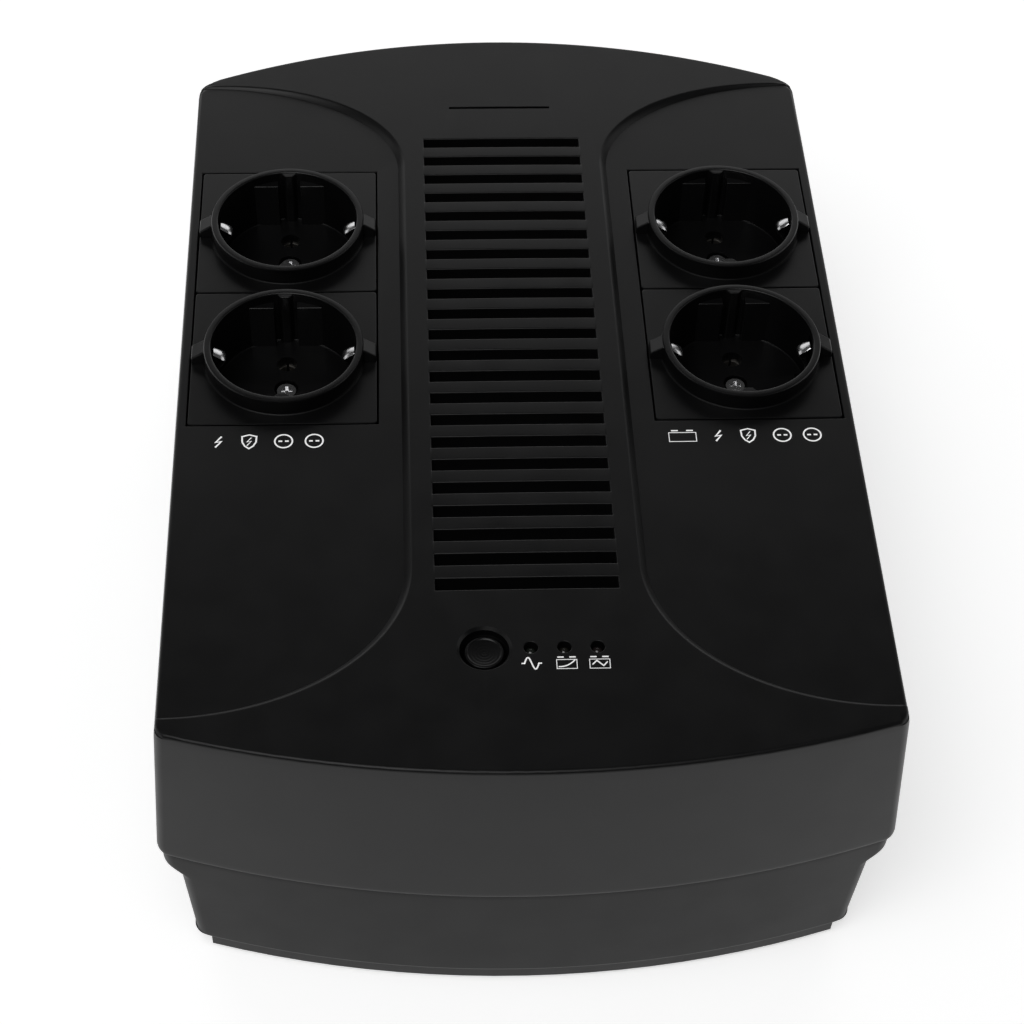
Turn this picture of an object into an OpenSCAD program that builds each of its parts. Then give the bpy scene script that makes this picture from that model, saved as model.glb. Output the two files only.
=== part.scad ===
// Desktop uninterruptible power supply: a bowed two-part case with a waisted raised spine,
// four round earthed sockets on top, a sprung power button and a connector bay at the back.
// Origin: centre of the footprint, on the surface the feet stand on. +Z up, front towards -Y.

/* [Case] */
// Width across the top edge
top_w = 180; // [178:1:182]
// Width at the seam between the upper and the lower case
seam_w = 186.6; // [186:0.2:188]
// Length over the bowed ends at the top edge
top_len = 273.6; // [272:0.4:275]
// Length over the bowed ends at the seam
seam_len = 277.6; // [277:0.2:279]
// Length over the bowed ends at the bottom of the tub
tub_len = 272.4; // [271:0.2:274]
// Height of the spine above the surface
case_top = 96.5; // [96:0.5:98]
// Height of the seam between the upper and the lower case
seam_z = 45.5; // [45:0.5:46.5]
// Radius of the bowed front
front_r = 290; // [280:5:310]
// Radius of the bowed back
rear_r = 204; // [200:2:210]
// Wall thickness of the case
wall = 2.5; // [2.4:0.1:2.6]
// Fall of the crowned top from the middle to its side edges
crown_fall = 1.7; // [1.5:0.1:1.8]
// Depth of the side panels below the spine
panel_drop = 2; // [1.9:0.1:2.2]
// Half width of the spine at its waist
spine_half = 30.5; // [30:0.5:31.5]

/* [Sockets] */
// Side of a square socket plate
plate_w = 50; // [49.6:0.1:50]
// Distance of the socket centres from the middle of the case
socket_x = 62; // [61.8:0.1:62.2]
// Y of the middle of a socket pair
socket_mid_y = 27.75; // [27.5:0.25:28]
// Distance between the two sockets of a pair
socket_pitch = 50.3; // [50.2:0.1:50.4]
// Inner diameter of the collar
well_d = 39; // [38.8:0.1:39.4]
// Outer diameter of the collar
collar_d = 43; // [42.8:0.1:43.4]
// Height of the collar above its plate
collar_h = 5; // [4:0.5:6]
// Depth of the well below the collar's rim
well_depth = 17.5; // [17.5:0.5:18]
// Distance between the two live contacts
pin_pitch = 19; // [18.8:0.1:19.2]

/* [Grille] */
// Number of slots
slot_count = 22; // [18:1:22]
// Distance between neighbouring slots
slot_pitch = 8; // [7.6:0.1:8]
// Length of a slot
slot_len = 45.6; // [40:0.2:47]
// Width of a slot
slot_w = 3.6; // [3:0.2:4]
// Y of the middle of the grille
grille_y = 4.6; // [3:0.2:6]

/* [Controls] */
// X of the power button
button_x = -11.3; // [-12:0.1:-11]
// Y of the button and the lamps
controls_y = -99.7; // [-100:0.1:-99]
// Diameter of the button cap
button_d = 9.8; // [9.6:0.1:10]
// Diameter of the ring round the button
ring_d = 13.2; // [13:0.1:13.6]
// Travel of the button
button_travel = 2; // [1:0.5:2]
// Distance between the lamps
lamp_pitch = 8.15; // [8:0.05:8.4]
// Diameter of the lamp holes
lamp_hole_d = 3.5; // [3.4:0.1:3.8]

/* [Connector bay] */
// Half width of the bay
bay_half = 62; // [61:0.5:63]
// Y of the flat connector panel's outer face
panel_y = 128; // [127.5:0.5:128.5]
// Height of the bay's floor
bay_low = 14; // [13:0.5:15]
// Height of the bay's ceiling
bay_high = 64; // [63:0.5:65]
// Travel of the breaker's reset button
reset_travel = 3; // [2:0.5:3]

/* [Inside] */
// Length of the battery
battery_l = 151; // [150:1:151]
// Depth of the battery
battery_w = 94; // [92:1:94]
// Height of the battery as it lies
battery_h = 65; // [63:1:65]

/* [Hidden] */
big_fn = 240;
round_fn = 64;
eps = 0.01;
fit_gap = 0.3;
big = 400;
seam_step = 0.7;
heel_h = 2.5;

foot_h = 1.5;
rim_h = 4.2;
tub_z = foot_h + rim_h;
floor_z = foot_h + 3.2;
top_half = top_w / 2;
seam_half = seam_w / 2;
tub_half = seam_half - seam_step;
waist_half = 88.2;
hem_half = 86.4;
hem_r = 4;
plate_half = 82.4;
panel_z = case_top - panel_drop;
crown_r = top_half * top_half / (2 * crown_fall);
front_axis_y = front_r - top_len / 2;
rear_axis_y = top_len / 2 - rear_r;
end_lean = (seam_len - top_len) / 2;
rear_lean = end_lean * (case_top - seam_z) / (case_top - bay_high);
tub_lean = (seam_len - 2 * seam_step - tub_len) / 2;
panel_end_x = top_half;
rear_sweep_y = 78.8;
rear_sweep_b = 38;
front_sweep_y = -73.1;
front_sweep_b = 44.4;
socket_ys = [socket_mid_y + socket_pitch / 2, socket_mid_y - socket_pitch / 2];
ledge_w = 2;
plate_t = 2.5;
pocket_gap = 0.35;
body_w = 40;
body_low = -32;
floor_t = 3;
well_floor = collar_h - well_depth;
post_r = 3.5;
post_places = [[-79.4, -92], [79.4, -92], [-72, 98], [72, 98]];
foot_places = [[-62, -104], [62, -104], [-56, 100], [56, 100]];
board_z = 76.4;
board_t = 1.6;
switch_top = board_z + board_t + 7;
cap_top = 95.2;
flange_z = 89;
inlet_x = 34;
breaker_x = 2;
data_x = -18;
jacks_x = -42;
bay_mid = (bay_low + bay_high) / 2;
battery_y = -75.3;
battery_z = floor_z + 1;
main_z = 12;
transformer_y = 68;
well_step = 2.2;
ring_top = case_top - well_step;
pan_front = [153, 104];
pan_front_y = -72;
pan_rear = [132, 132];
pan_rear_y = 45;
pan_gap = 0.4;
pin_places = [[-7, -2], [7, -2], [0, 2]];
standoffs = [[-70, -8], [70, -8], [-70, 28], [70, 28]];
screw_r = 1.7;
seat_r = 3.2;

// Points of a sweep from angle a to b on an ellipse
function ellipse_arc(cx, cy, rx, ry, a, b, n) =
    [for (i = [0:n]) let (t = a + (b - a) * i / n) [cx + rx * cos(t), cy + ry * sin(t)]];

// Point on a smooth path through hand-picked points
function blend(p0, p1, p2, p3, t) =
    0.5 * (2 * p1 + (p2 - p0) * t + (2 * p0 - 5 * p1 + 4 * p2 - p3) * t * t
    + (3 * p1 - p0 - 3 * p2 + p3) * t * t * t);
function smooth_path(p, n) = let (k = len(p)) concat(
    [for (i = [0:k - 2], j = [0:n - 1])
        blend(p[max(i - 1, 0)], p[i], p[i + 1], p[min(i + 2, k - 1)], j / n)], [p[k - 1]]);
function unit(v) = v / norm(v);

// Side directions carried along a path without twist
function carried(dirs, a, i) = i == len(dirs) ? [] :
    let (s = unit(a - (a * dirs[i]) * dirs[i])) concat([s], carried(dirs, s, i + 1));

// A round lead of radius r along a list of points
module lead(points, r, sides = 8) {
    p = smooth_path(points, 5);
    n = len(p);
    dirs = [for (i = [0:n - 1]) unit(p[min(i + 1, n - 1)] - p[max(i - 1, 0)])];
    side_a = carried(dirs, unit(cross(dirs[0], [0.3, 0.1, 1])), 0);
    side_b = [for (i = [0:n - 1]) cross(side_a[i], dirs[i])];
    rings = [for (i = [0:n - 1], j = [0:sides - 1]) let (t = 360 * j / sides)
        p[i] + r * (cos(t) * side_a[i] + sin(t) * side_b[i])];
    walls = [for (i = [0:n - 2], j = [0:sides - 1]) let (k = (j + 1) % sides)
        [i * sides + j, (i + 1) * sides + j, (i + 1) * sides + k, i * sides + k]];
    near_end = [[for (j = [0:sides - 1]) j]];
    far_end = [[for (j = [sides - 1:-1:0]) (n - 1) * sides + j]];
    polyhedron(rings, concat(walls, near_end, far_end));
}

// A block centred on x and y that stands on z
module block(size, at) {
    translate([at[0] - size[0] / 2, at[1] - size[1] / 2, at[2]]) cube(size);
}

// A profile in X and Z, swept along the whole length of the case
module along_case(points) {
    rotate([90, 0, 0]) linear_extrude(height = big, center = true) polygon(points);
}

// Half profiles, from the middle outwards; t insets them
function upper_side(t) = [
    [seam_half - t - seam_step, seam_z], [seam_half - t, seam_z + heel_h], [top_half - t, case_top]];
function tub_side(t) = concat(
    [[hem_half - hem_r - t * 0.6, tub_z]],
    ellipse_arc(hem_half - hem_r, tub_z + hem_r, hem_r - t * 0.6, hem_r, -75, 0, 5),
    [[waist_half - t, 33.8], [waist_half + 0.5 - t, 35.6], [waist_half + 2.1 - t, 37.4],
     [tub_half - 0.8 - t, 38.6], [tub_half - 0.1 - t, 40.4], [tub_half - t, seam_z]]);
function mirrored(p) = concat(p, [for (i = [len(p) - 1:-1:0]) [-p[i][0], p[i][1]]]);

// The bowed ends: each a wide cone round its own upright axis, between two heights
module bowed_front(low, high, grow_low, grow_high, t) {
    h = high - low;
    translate([0, front_axis_y, low])
        cylinder(h = h, r1 = front_r + grow_low - t, r2 = front_r + grow_high - t, $fn = big_fn);
}
module bowed_back(low, high, grow_low, grow_high, t) {
    h = high - low;
    translate([0, rear_axis_y, low])
        cylinder(h = h, r1 = rear_r + grow_low - t, r2 = rear_r + grow_high - t, $fn = big_fn);
}

// Cuts one upright corner to radius r; x0 and x1 are the half widths low and high
module corner_cut(side, back, r, low, high, x0, x1, grow0, grow1) {
    bow_r = back ? rear_r : front_r;
    axis_y = back ? rear_axis_y : front_axis_y;
    sy = back ? 1 : -1;
    cx0 = x0 - r;
    cx1 = x1 - r;
    cy0 = axis_y + sy * sqrt(pow(bow_r + grow0 - r, 2) - cx0 * cx0);
    cy1 = axis_y + sy * sqrt(pow(bow_r + grow1 - r, 2) - cx1 * cx1);
    h = high - low;
    lean_x = atan((cx1 - cx0) / h);
    lean_y = -atan((cy1 - cy0) / h);
    turn = asin(cx0 / bow_r);
    mirror([side < 0 ? 1 : 0, 0, 0])
    translate([cx0, cy0, low]) rotate([lean_y, lean_x, 0]) difference() {
        translate([0, 0, -2]) linear_extrude(height = h + 4)
            polygon([[0, 0], [3 * r, 0], [3 * r, sy * 3 * r],
                [3 * r * sin(turn), sy * 3 * r * cos(turn)]]);
        translate([0, 0, -3]) cylinder(h = h + 6, r = r, $fn = round_fn);
    }
}

// Outer form of the upper case, inset by t
module upper_form(t = 0) {
    intersection() {
        along_case(mirrored(upper_side(t)));
        bowed_front(seam_z, case_top, end_lean, 0, t);
        bowed_back(seam_z, case_top, rear_lean, 0, t);
        translate([0, 0, case_top - crown_r]) rotate([90, 0, 0])
            cylinder(h = big, r = crown_r - t, center = true, $fn = 3 * big_fn);
    }
}

// Outer form of the lower case, inset by t
module tub_form(t = 0) {
    intersection() {
        along_case(mirrored(tub_side(t)));
        bowed_front(tub_z, seam_z, end_lean - seam_step - tub_lean, end_lean - seam_step, t);
        bowed_back(tub_z, seam_z, rear_lean - seam_step - tub_lean, rear_lean - seam_step, t);
    }
}

// Outline of the sunk panel on the right, between the two sweeps of the spine
module panel_outline() {
    polygon(concat(
        ellipse_arc(panel_end_x, front_sweep_y, panel_end_x - spine_half, front_sweep_b, 270, 180, 16),
        ellipse_arc(panel_end_x, rear_sweep_y, panel_end_x - spine_half, rear_sweep_b, 180, 90, 16),
        [[panel_end_x + 5, rear_sweep_y + rear_sweep_b],
         [panel_end_x + 5, front_sweep_y - front_sweep_b]]));
}

// Everything that both halves leave open for the connector bay
module bay_cut() {
    translate([-bay_half, panel_y, bay_low])
        cube([2 * bay_half, 20, bay_high - bay_low]);
    translate([-bay_half + 3, panel_y - 6, bay_low + 3])
        cube([2 * bay_half - 6, 20, bay_high - bay_low - 6]);
}

// The slot that the rear panel stands in
module bay_groove(gap) {
    translate([-bay_half - 1.5 - gap, panel_y - 2.5 - gap, bay_low - 1.5 - gap])
        cube([2 * (bay_half + 1.5 + gap), 2.5 + 2 * gap, bay_high - bay_low + 3 + 2 * gap]);
}

// The frame that holds the rear panel, before its groove and opening are cut
module bay_frame() {
    translate([-bay_half - 4, panel_y - 5, bay_low - 4])
        cube([2 * bay_half + 8, 30, bay_high - bay_low + 8]);
}

module top_cover() {
    well_open = body_w + 3.6;
    color("#1c1c1d") difference() {
        union() {
            difference() {
                upper_form(0);
                for (s = [-1, 1], back = [false, true]) {
                    corner_cut(s, back, back ? 6 : 3, seam_z, case_top,
                        seam_half, top_half, back ? rear_lean : end_lean, 0);
                }
                // hollow: low under the side panels, higher under the spine
                intersection() {
                    translate([0, 0, -eps]) upper_form(wall);
                    block([big, big, panel_z - wall], [0, 0, 0]);
                }
                translate([0, 0, -eps]) intersection() {
                    upper_form(wall);
                    block([2 * spine_half - 6, big, case_top], [0, 0, 0]);
                }
            }
            // frames below the side panels that carry the socket plates
            intersection() {
                upper_form(wall / 2);
                for (s = [-1, 1]) {
                    block([plate_w + 8, socket_pitch + plate_w + 8, plate_t + ledge_w],
                        [s * (socket_x - 1.5), socket_mid_y, panel_z - plate_t - ledge_w - 0.1]);
                }
            }
            // screw bosses
            for (p = post_places) {
                translate([p[0], p[1], seam_z + 0.4]) cylinder(h = panel_z - wall - seam_z,
                    r = post_r, $fn = round_fn);
            }
            intersection() {
                upper_form(wall / 2);
                bay_frame();
            }
            // collar below the button hole
            translate([button_x, controls_y, 91]) cylinder(h = 5, d = ring_d + 4, $fn = round_fn);
        }
        // sunk side panels
        for (s = [0, 1]) {
            mirror([s, 0, 0]) translate([0, 0, panel_z]) linear_extrude(height = 5) panel_outline();
        }
        // seats of the socket plates
        for (s = [-1, 1]) {
            block([plate_w + 2 * pocket_gap, socket_pitch + plate_w + 2 * pocket_gap, 5],
                [s * socket_x, socket_mid_y, panel_z - plate_t - 0.1]);
        }
        for (s = [-1, 1], y = socket_ys) {
            block([well_open, well_open, 12], [s * socket_x, y, panel_z - 10]);
        }
        // air slots
        for (i = [0:slot_count - 1]) {
            block([slot_len, slot_w, 10],
                [0, grille_y + (i - (slot_count - 1) / 2) * slot_pitch, case_top - 7]);
        }
        // button and lamps
        translate([button_x, controls_y, 85]) cylinder(h = 20, d = ring_d - 1.2, $fn = round_fn);
        translate([button_x, controls_y, ring_top - 1.2]) cylinder(h = 9, d = ring_d, $fn = round_fn);
        for (i = [0:2]) {
            translate([i * lamp_pitch, controls_y, 85])
                cylinder(h = 20, d = lamp_hole_d, $fn = round_fn);
        }
        // engraved line at the back
        block([30, 0.8, 2], [0, 104.7, case_top - 0.4]);
        for (p = post_places) {
            translate([p[0], p[1], seam_z - 1]) cylinder(h = 20, r = 1.3, $fn = round_fn);
        }
        bay_cut();
        bay_groove(0.1);
    }
}

module base_tub() {
    color("#222223") difference() {
        union() {
            difference() {
                tub_form(0);
                for (s = [-1, 1], back = [false, true]) {
                    lean = (back ? rear_lean : end_lean) - seam_step;
                    corner_cut(s, back, back ? 6 : 4, tub_z, seam_z, tub_half - 2.2,
                        tub_half, lean - tub_lean, lean);
                }
                intersection() {
                    tub_form(wall);
                    block([big, big, 60], [0, 0, tub_z + wall]);
                }
                block([pan_front[0], pan_front[1], 10], [0, pan_front_y, tub_z - 4]);
                block([pan_rear[0], pan_rear[1], 10], [0, pan_rear_y, tub_z - 4]);
            }
            // rabbet lip that locates the upper case
            difference() {
                union() {
                    intersection() {
                        upper_form(wall + fit_gap);
                        block([big, big, 2.5 + 1], [0, 0, seam_z - 1]);
                    }
                    intersection() {
                        tub_form(wall / 2);
                        block([big, big, 4], [0, 0, seam_z - 3]);
                    }
                }
                translate([0, 0, -3.5]) upper_form(wall + 1.5);
                block([2 * bay_half + 9, 40, 5], [0, 140, seam_z]);
            }
            for (p = post_places) {
                translate([p[0], p[1], tub_z]) cylinder(h = seam_z - tub_z, r = post_r, $fn = round_fn);
            }
            intersection() {
                tub_form(wall / 2);
                bay_frame();
            }
        }
        for (p = post_places) {
            translate([p[0], p[1], 0]) cylinder(h = 60, r = screw_r, $fn = round_fn);
            translate([p[0], p[1], 0]) cylinder(h = 20, r = 2.8, $fn = round_fn);
        }
        bay_cut();
        bay_groove(0.1);
    }
}

// Flat closing plate with an upstanding front edge that follows the tub
module bottom_plate() {
    color("#1f1f20") difference() {
        intersection() {
            block([2 * plate_half, big, rim_h], [0, 0, foot_h]);
            bowed_front(foot_h, tub_z, -1.6, -1.2, 0);
            bowed_back(foot_h, tub_z, -1.6, -1.2, 0);
        }
        // pan that holds the battery and the transformer
        block([pan_front[0] - pan_gap, pan_front[1] - pan_gap, 5], [0, pan_front_y, floor_z]);
        block([pan_rear[0] - pan_gap, pan_rear[1] - pan_gap, 5], [0, pan_rear_y, floor_z]);
        for (p = post_places) {
            translate([p[0], p[1], 0]) cylinder(h = 20, r = screw_r, $fn = round_fn);
            translate([p[0], p[1], 0]) cylinder(h = foot_h + 2.2, r = 3.2, $fn = round_fn);
        }
        for (p = foot_places) {
            translate([p[0], p[1], 0]) cylinder(h = foot_h + 1, r = 8, $fn = round_fn);
        }
        // cooling slots
        for (i = [-4:4]) {
            block([36, 3.6, 10], [0, 78 + i * 8, 0]);
        }
    }
}

module rubber_feet() {
    color("#101010") for (p = foot_places) {
        translate([p[0], p[1], 0]) cylinder(h = 1.2, r1 = 7, r2 = 7.9, $fn = round_fn);
        translate([p[0], p[1], 1.2]) cylinder(h = foot_h - 0.2, r = 7.9, $fn = round_fn);
    }
}

// Pan head screw with a cross recess, head down at z = 0, shank upwards
module screw(head_r, head_h, shank_r, length) {
    difference() {
        union() {
            cylinder(h = head_h, r = head_r, $fn = round_fn);
            cylinder(h = length, r = shank_r, $fn = round_fn);
        }
        for (a = [0, 90]) {
            rotate([0, 0, a]) block([head_r * 1.2, 0.9, head_h * 0.7 + 1], [0, 0, -1]);
        }
    }
}

// Long screws from below, through the tub's posts into the bosses of the cover
module cover_screws() {
    color("#8d8d8f") for (p = post_places) {
        translate([p[0], p[1], foot_h + 0.4]) screw(2.9, 1.8, 1.25, seam_z + 10);
    }
}

// Everything of one socket that stands in the plate, with the plate's face at z = 0
module socket_housing(at) {
    guide_y = 16.7;
    guide_h = collar_h - 3 - well_floor;
    rib_in = well_d / 2 - 1.4;
    color("#1a1a1b") translate([at[0], at[1], panel_z]) difference() {
        union() {
            block([plate_w, plate_w, plate_t], [0, 0, -plate_t]);
            translate([0, 0, body_low / 2])
                cylinder(h = collar_h - body_low / 2, d = collar_d, $fn = 2 * round_fn);
            block([body_w, body_w, -body_low + well_floor + 1], [0, 0, body_low]);
            // sloping lugs at both sides of the collar
            translate([0, 2.5, 0]) rotate([90, 0, 0]) linear_extrude(height = 5)
                polygon([[-25, 0], [25, 0], [25, 2.2], [21.8, collar_h - 0.6], [-21.8, collar_h - 0.6],
                    [-25, 2.2]]);
        }
        // well for the plug, with two flat guides and a wedge rib front and back
        difference() {
            translate([0, 0, well_floor]) cylinder(h = 40, d = well_d, $fn = 2 * round_fn);
            for (s = [-1, 1]) {
                for (x = [-6.6, 6.6]) {
                    block([7, 8, guide_h], [x, s * (guide_y + 4), well_floor]);
                }
                translate([0, 0, well_floor]) linear_extrude(height = collar_h - well_floor)
                    polygon([[-2.5, s * well_d / 2], [-1.3, s * rib_in], [1.3, s * rib_in],
                        [2.5, s * well_d / 2], [0, s * (well_d / 2 + 1)]]);
            }
        }
        // live contact holes and their chambers
        for (s = [-1, 1]) {
            translate([0, s * pin_pitch / 2, body_low - 1]) cylinder(h = 40, d = 5.5, $fn = round_fn);
            translate([0, s * pin_pitch / 2, body_low - 1])
                cylinder(h = well_floor - floor_t - body_low + 1, d = 8, $fn = round_fn);
        }
        // chamber and side slots of the earth strap
        block([38.8, 6.8, well_floor - floor_t - body_low], [0, 0, body_low]);
        for (s = [-1, 1]) {
            block([3.6, 6.8, collar_h - 2 - body_low], [s * 18.6, 0, body_low]);
        }
        // middle screw, sunk in a round seat
        translate([0, 0, well_floor - 2]) cylinder(h = 10, r = seat_r, $fn = round_fn);
        translate([0, 0, body_low]) cylinder(h = 40, r = screw_r, $fn = round_fn);
    }
}

// Sprung steel strap: its two ends lean into the well to touch the plug's side contacts
module earth_clip(at) {
    top = well_floor - floor_t - 0.2;
    t = 0.8;
    side = [[0, top - t], [19, top - t], [19, -4], [17.2, 0.1], [18.8, 1.9], [18.2, 2.3], [16, 0.2],
        [18.2, -4.6], [18.2, top], [0, top]];
    color("#c9c9cb") translate([at[0], at[1], panel_z]) difference() {
        union() {
            for (s = [0, 1]) {
                mirror([s, 0, 0]) translate([0, 3, 0]) rotate([90, 0, 0])
                    linear_extrude(height = 6) polygon(side);
            }
            block([0.8, 6.3, 9], [9, 0, top - 9]);
        }
        translate([0, 0, top - 5]) cylinder(h = 10, r = 1.55, $fn = round_fn);
    }
}

// Two slit brass tubes that grip the pins, each with a tab for its lead
module pin_contacts(at) {
    top = well_floor - floor_t - 0.2;
    color("#b08d3c") translate([at[0], at[1], panel_z]) for (s = [-1, 1]) {
        translate([0, s * pin_pitch / 2, 0]) difference() {
            union() {
                translate([0, 0, top - 14]) cylinder(h = 14, r = 3.4, $fn = round_fn);
                block([6.3, 0.8, 10], [0, 0, top - 22]);
            }
            translate([0, 0, top - 12]) cylinder(h = 20, r = 2.3, $fn = round_fn);
            block([0.7, 10, 11], [0, 0, top - 10]);
        }
    }
}

module socket_screws() {
    color("#a9a9ab") for (sx = [-1, 1], y = socket_ys) {
        translate([sx * socket_x, y, panel_z + well_floor - 0.7]) mirror([0, 0, 1])
            screw(seat_r - 0.6, 1.2, 1.5, 9);
    }
}

module button_ring() {
    color("#161617") translate([button_x, controls_y, 0]) difference() {
        union() {
            translate([0, 0, ring_top - 1.15]) cylinder(h = 1.15, d = ring_d - 0.1, $fn = round_fn);
            translate([0, 0, flange_z + 1.5])
                cylinder(h = ring_top - flange_z - 2, d = ring_d - 1.4, $fn = round_fn);
        }
        translate([0, 0, 80]) cylinder(h = 30, d = button_d + 0.3, $fn = round_fn);
    }
}

module power_button() {
    color("#202021") translate([button_x, controls_y, 0]) difference() {
        union() {
            translate([0, 0, flange_z]) cylinder(h = cap_top - flange_z, d = button_d, $fn = round_fn);
            translate([0, 0, flange_z]) cylinder(h = 1.4, d = ring_d - 2, $fn = round_fn);
            translate([0, 0, switch_top - 4]) cylinder(h = flange_z - switch_top + 5, r = 1.7,
                $fn = round_fn);
        }
        // shallow dish for the fingertip
        translate([0, 0, cap_top + 29.3]) sphere(r = 30, $fn = 2 * round_fn);
    }
}

// Coil spring between the switch and the button's flange
module button_spring() {
    turns = 3.5;
    wire = 0.35;
    r = 3.6;
    steps = 56;
    low = switch_top + wire;
    high = flange_z - wire;
    sides = 8;
    pts = [for (i = [0:steps]) let (a = 360 * turns * i / steps)
        [r * cos(a), r * sin(a), low + (high - low) * i / steps]];
    rings = [for (i = [0:steps], j = [0:sides - 1])
        let (a = 360 * turns * i / steps, t = 360 * j / sides)
        pts[i] + wire * [cos(t) * cos(a), cos(t) * sin(a), sin(t)]];
    walls = [for (i = [0:steps - 1], j = [0:sides - 1]) let (k = (j + 1) % sides)
        [i * sides + j, i * sides + k, (i + 1) * sides + k, (i + 1) * sides + j]];
    near_end = [[for (j = [sides - 1:-1:0]) j]];
    far_end = [[for (j = [0:sides - 1]) steps * sides + j]];
    color("#b9b9bb") translate([button_x, controls_y, 0])
        polyhedron(rings, concat(walls, near_end, far_end));
}

module push_switch() {
    color("#303032") translate([button_x, controls_y, 0]) difference() {
        block([9, 9, switch_top - board_z - board_t], [0, 0, board_z + board_t]);
        translate([0, 0, board_z + board_t + 0.8]) cylinder(h = 10, r = 2, $fn = round_fn);
    }
}

// A 3 mm lamp with its collar and two legs down to the board
module lamp(i) {
    translate([i * lamp_pitch, controls_y, 0]) {
        translate([0, 0, 90.5]) cylinder(h = 3.4, r = 1.5, $fn = round_fn);
        translate([0, 0, 93.9]) sphere(r = 1.5, $fn = round_fn);
        translate([0, 0, 89.6]) cylinder(h = 1, r = 1.9, $fn = round_fn);
        for (s = [-1, 1]) {
            block([0.5, 0.5, 89.7 - board_z - board_t], [s * 1.27, 0, board_z + board_t]);
        }
    }
}
module mains_lamp() {
    color("#3a4a3a") lamp(0);
}
module battery_lamp() {
    color("#4a4636") lamp(1);
}
module fault_lamp() {
    color("#4a3636") lamp(2);
}

module control_board() {
    color("#1d5c36") difference() {
        block([58, 26, board_t], [4, controls_y, board_z]);
        for (s = [-1, 1]) {
            translate([4 + s * 25, controls_y, board_z - 1]) cylinder(h = 4, r = 1.6, $fn = round_fn);
        }
    }
}

// Flat panel that carries every connector, held in a groove of both case halves
module rear_panel() {
    h = bay_high - bay_low;
    color("#262627") difference() {
        block([2 * bay_half + 3, 2.5, h + 3], [0, panel_y - 1.25, bay_low - 1.5]);
        block([28, 9, 22.6], [inlet_x, panel_y, bay_mid - 11.3]);
        translate([breaker_x, panel_y, bay_mid]) rotate([90, 0, 0])
            cylinder(h = 10, r = 5.1, center = true, $fn = round_fn);
        block([12.6, 9, 11.6], [data_x, panel_y, bay_mid - 5.8]);
        block([28.6, 9, 13.6], [jacks_x, panel_y, bay_mid - 6.8]);
    }
}

// Mains inlet: shrouded recess with room for a cord's connector round three pins
module mains_inlet() {
    color("#141415") translate([inlet_x, panel_y, bay_mid]) difference() {
        union() {
            block([31, 2, 26], [0, 1.05, -13]);
            block([27.6, 19, 22.2], [0, -9.4, -11.1]);
        }
        translate([0, -7.4, 0]) rotate([90, 0, 0]) linear_extrude(height = 19.2, center = true)
            polygon([[-12.3, -8.2], [12.3, -8.2], [12.3, 4.2], [8.3, 8.2], [-8.3, 8.2], [-12.3, 4.2]]);
        for (p = pin_places) {
            block([2.1, 8, 4.1], [p[0], -18, p[1] - 2.05]);
        }
    }
}
module inlet_pins() {
    color("#d0d0d2") for (p = pin_places) {
        block([2, 24, 4], [inlet_x + p[0], panel_y - 14, bay_mid + p[1] - 2]);
    }
}

module breaker_body() {
    color("#2a2a2c") translate([breaker_x, panel_y, bay_mid]) difference() {
        union() {
            block([14, 22, 26], [0, -13.7, -13]);
            translate([0, 6, 0]) rotate([90, 0, 0]) cylinder(h = 10, r = 5, $fn = round_fn);
        }
        translate([0, 10, 0]) rotate([90, 0, 0]) cylinder(h = 20, r = 3.1, $fn = round_fn);
    }
}
module breaker_nut() {
    color("#1a1a1b") translate([breaker_x, panel_y + 2.6, bay_mid]) difference() {
        rotate([90, 0, 0]) cylinder(h = 2.5, r = 7.4, $fn = 6);
        rotate([90, 0, 0]) cylinder(h = 20, r = 5.02, center = true, $fn = round_fn);
    }
}
module reset_button() {
    color("#0f0f10") translate([breaker_x, panel_y + 8.6, bay_mid]) rotate([90, 0, 0])
        cylinder(h = 16, r = 3, $fn = round_fn);
}

// Two modular jacks side by side, for a surge-protected line
module surge_jacks() {
    color("#17171a") translate([jacks_x, panel_y, bay_mid]) difference() {
        block([28.2, 18, 13.2], [0, -8.4, -6.6]);
        for (s = [-1, 1]) {
            block([10, 14, 7], [s * 7, -5, -4.4]);
            block([6, 14, 3], [s * 7, -5, 2]);
        }
    }
}

// Square data socket with its centre tongue
module data_port() {
    color("#b5b5b8") translate([data_x, panel_y, bay_mid]) difference() {
        block([12.2, 16, 11.2], [0, -7.6, -5.6]);
        difference() {
            block([8.6, 12, 7.8], [0, -3, -3.9]);
            block([5.6, 12, 3.2], [0, -4, -1.6]);
        }
    }
}

module battery() {
    color("#3b3d42") block([battery_l, battery_w, battery_h], [0, battery_y, battery_z]);
}
module battery_terminals() {
    color("#c0c0c2") for (s = [-1, 1]) {
        block([6.3, 6, 0.8], [s * (battery_l / 2 - 12), battery_y + battery_w / 2 + 3, battery_z + 12]);
    }
}
// Steel strap over the battery with a foot at each side
module battery_strap() {
    z0 = floor_z;
    half = battery_l / 2 - 3;
    color("#9a9a9c") translate([0, battery_y + battery_w / 2 + 7.4, 0]) union() {
        block([2 * half, 1, battery_h - 24], [0, 0, z0 + 24]);
        for (s = [-1, 1]) {
            block([10, 1, 24.1], [s * (half - 20), 0, z0]);
            block([10, 9, 1], [s * (half - 20), 4, z0]);
        }
    }
}
module battery_pad() {
    color("#2e2e2e") block([140, 84, battery_z - floor_z], [0, battery_y, floor_z]);
}

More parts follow.
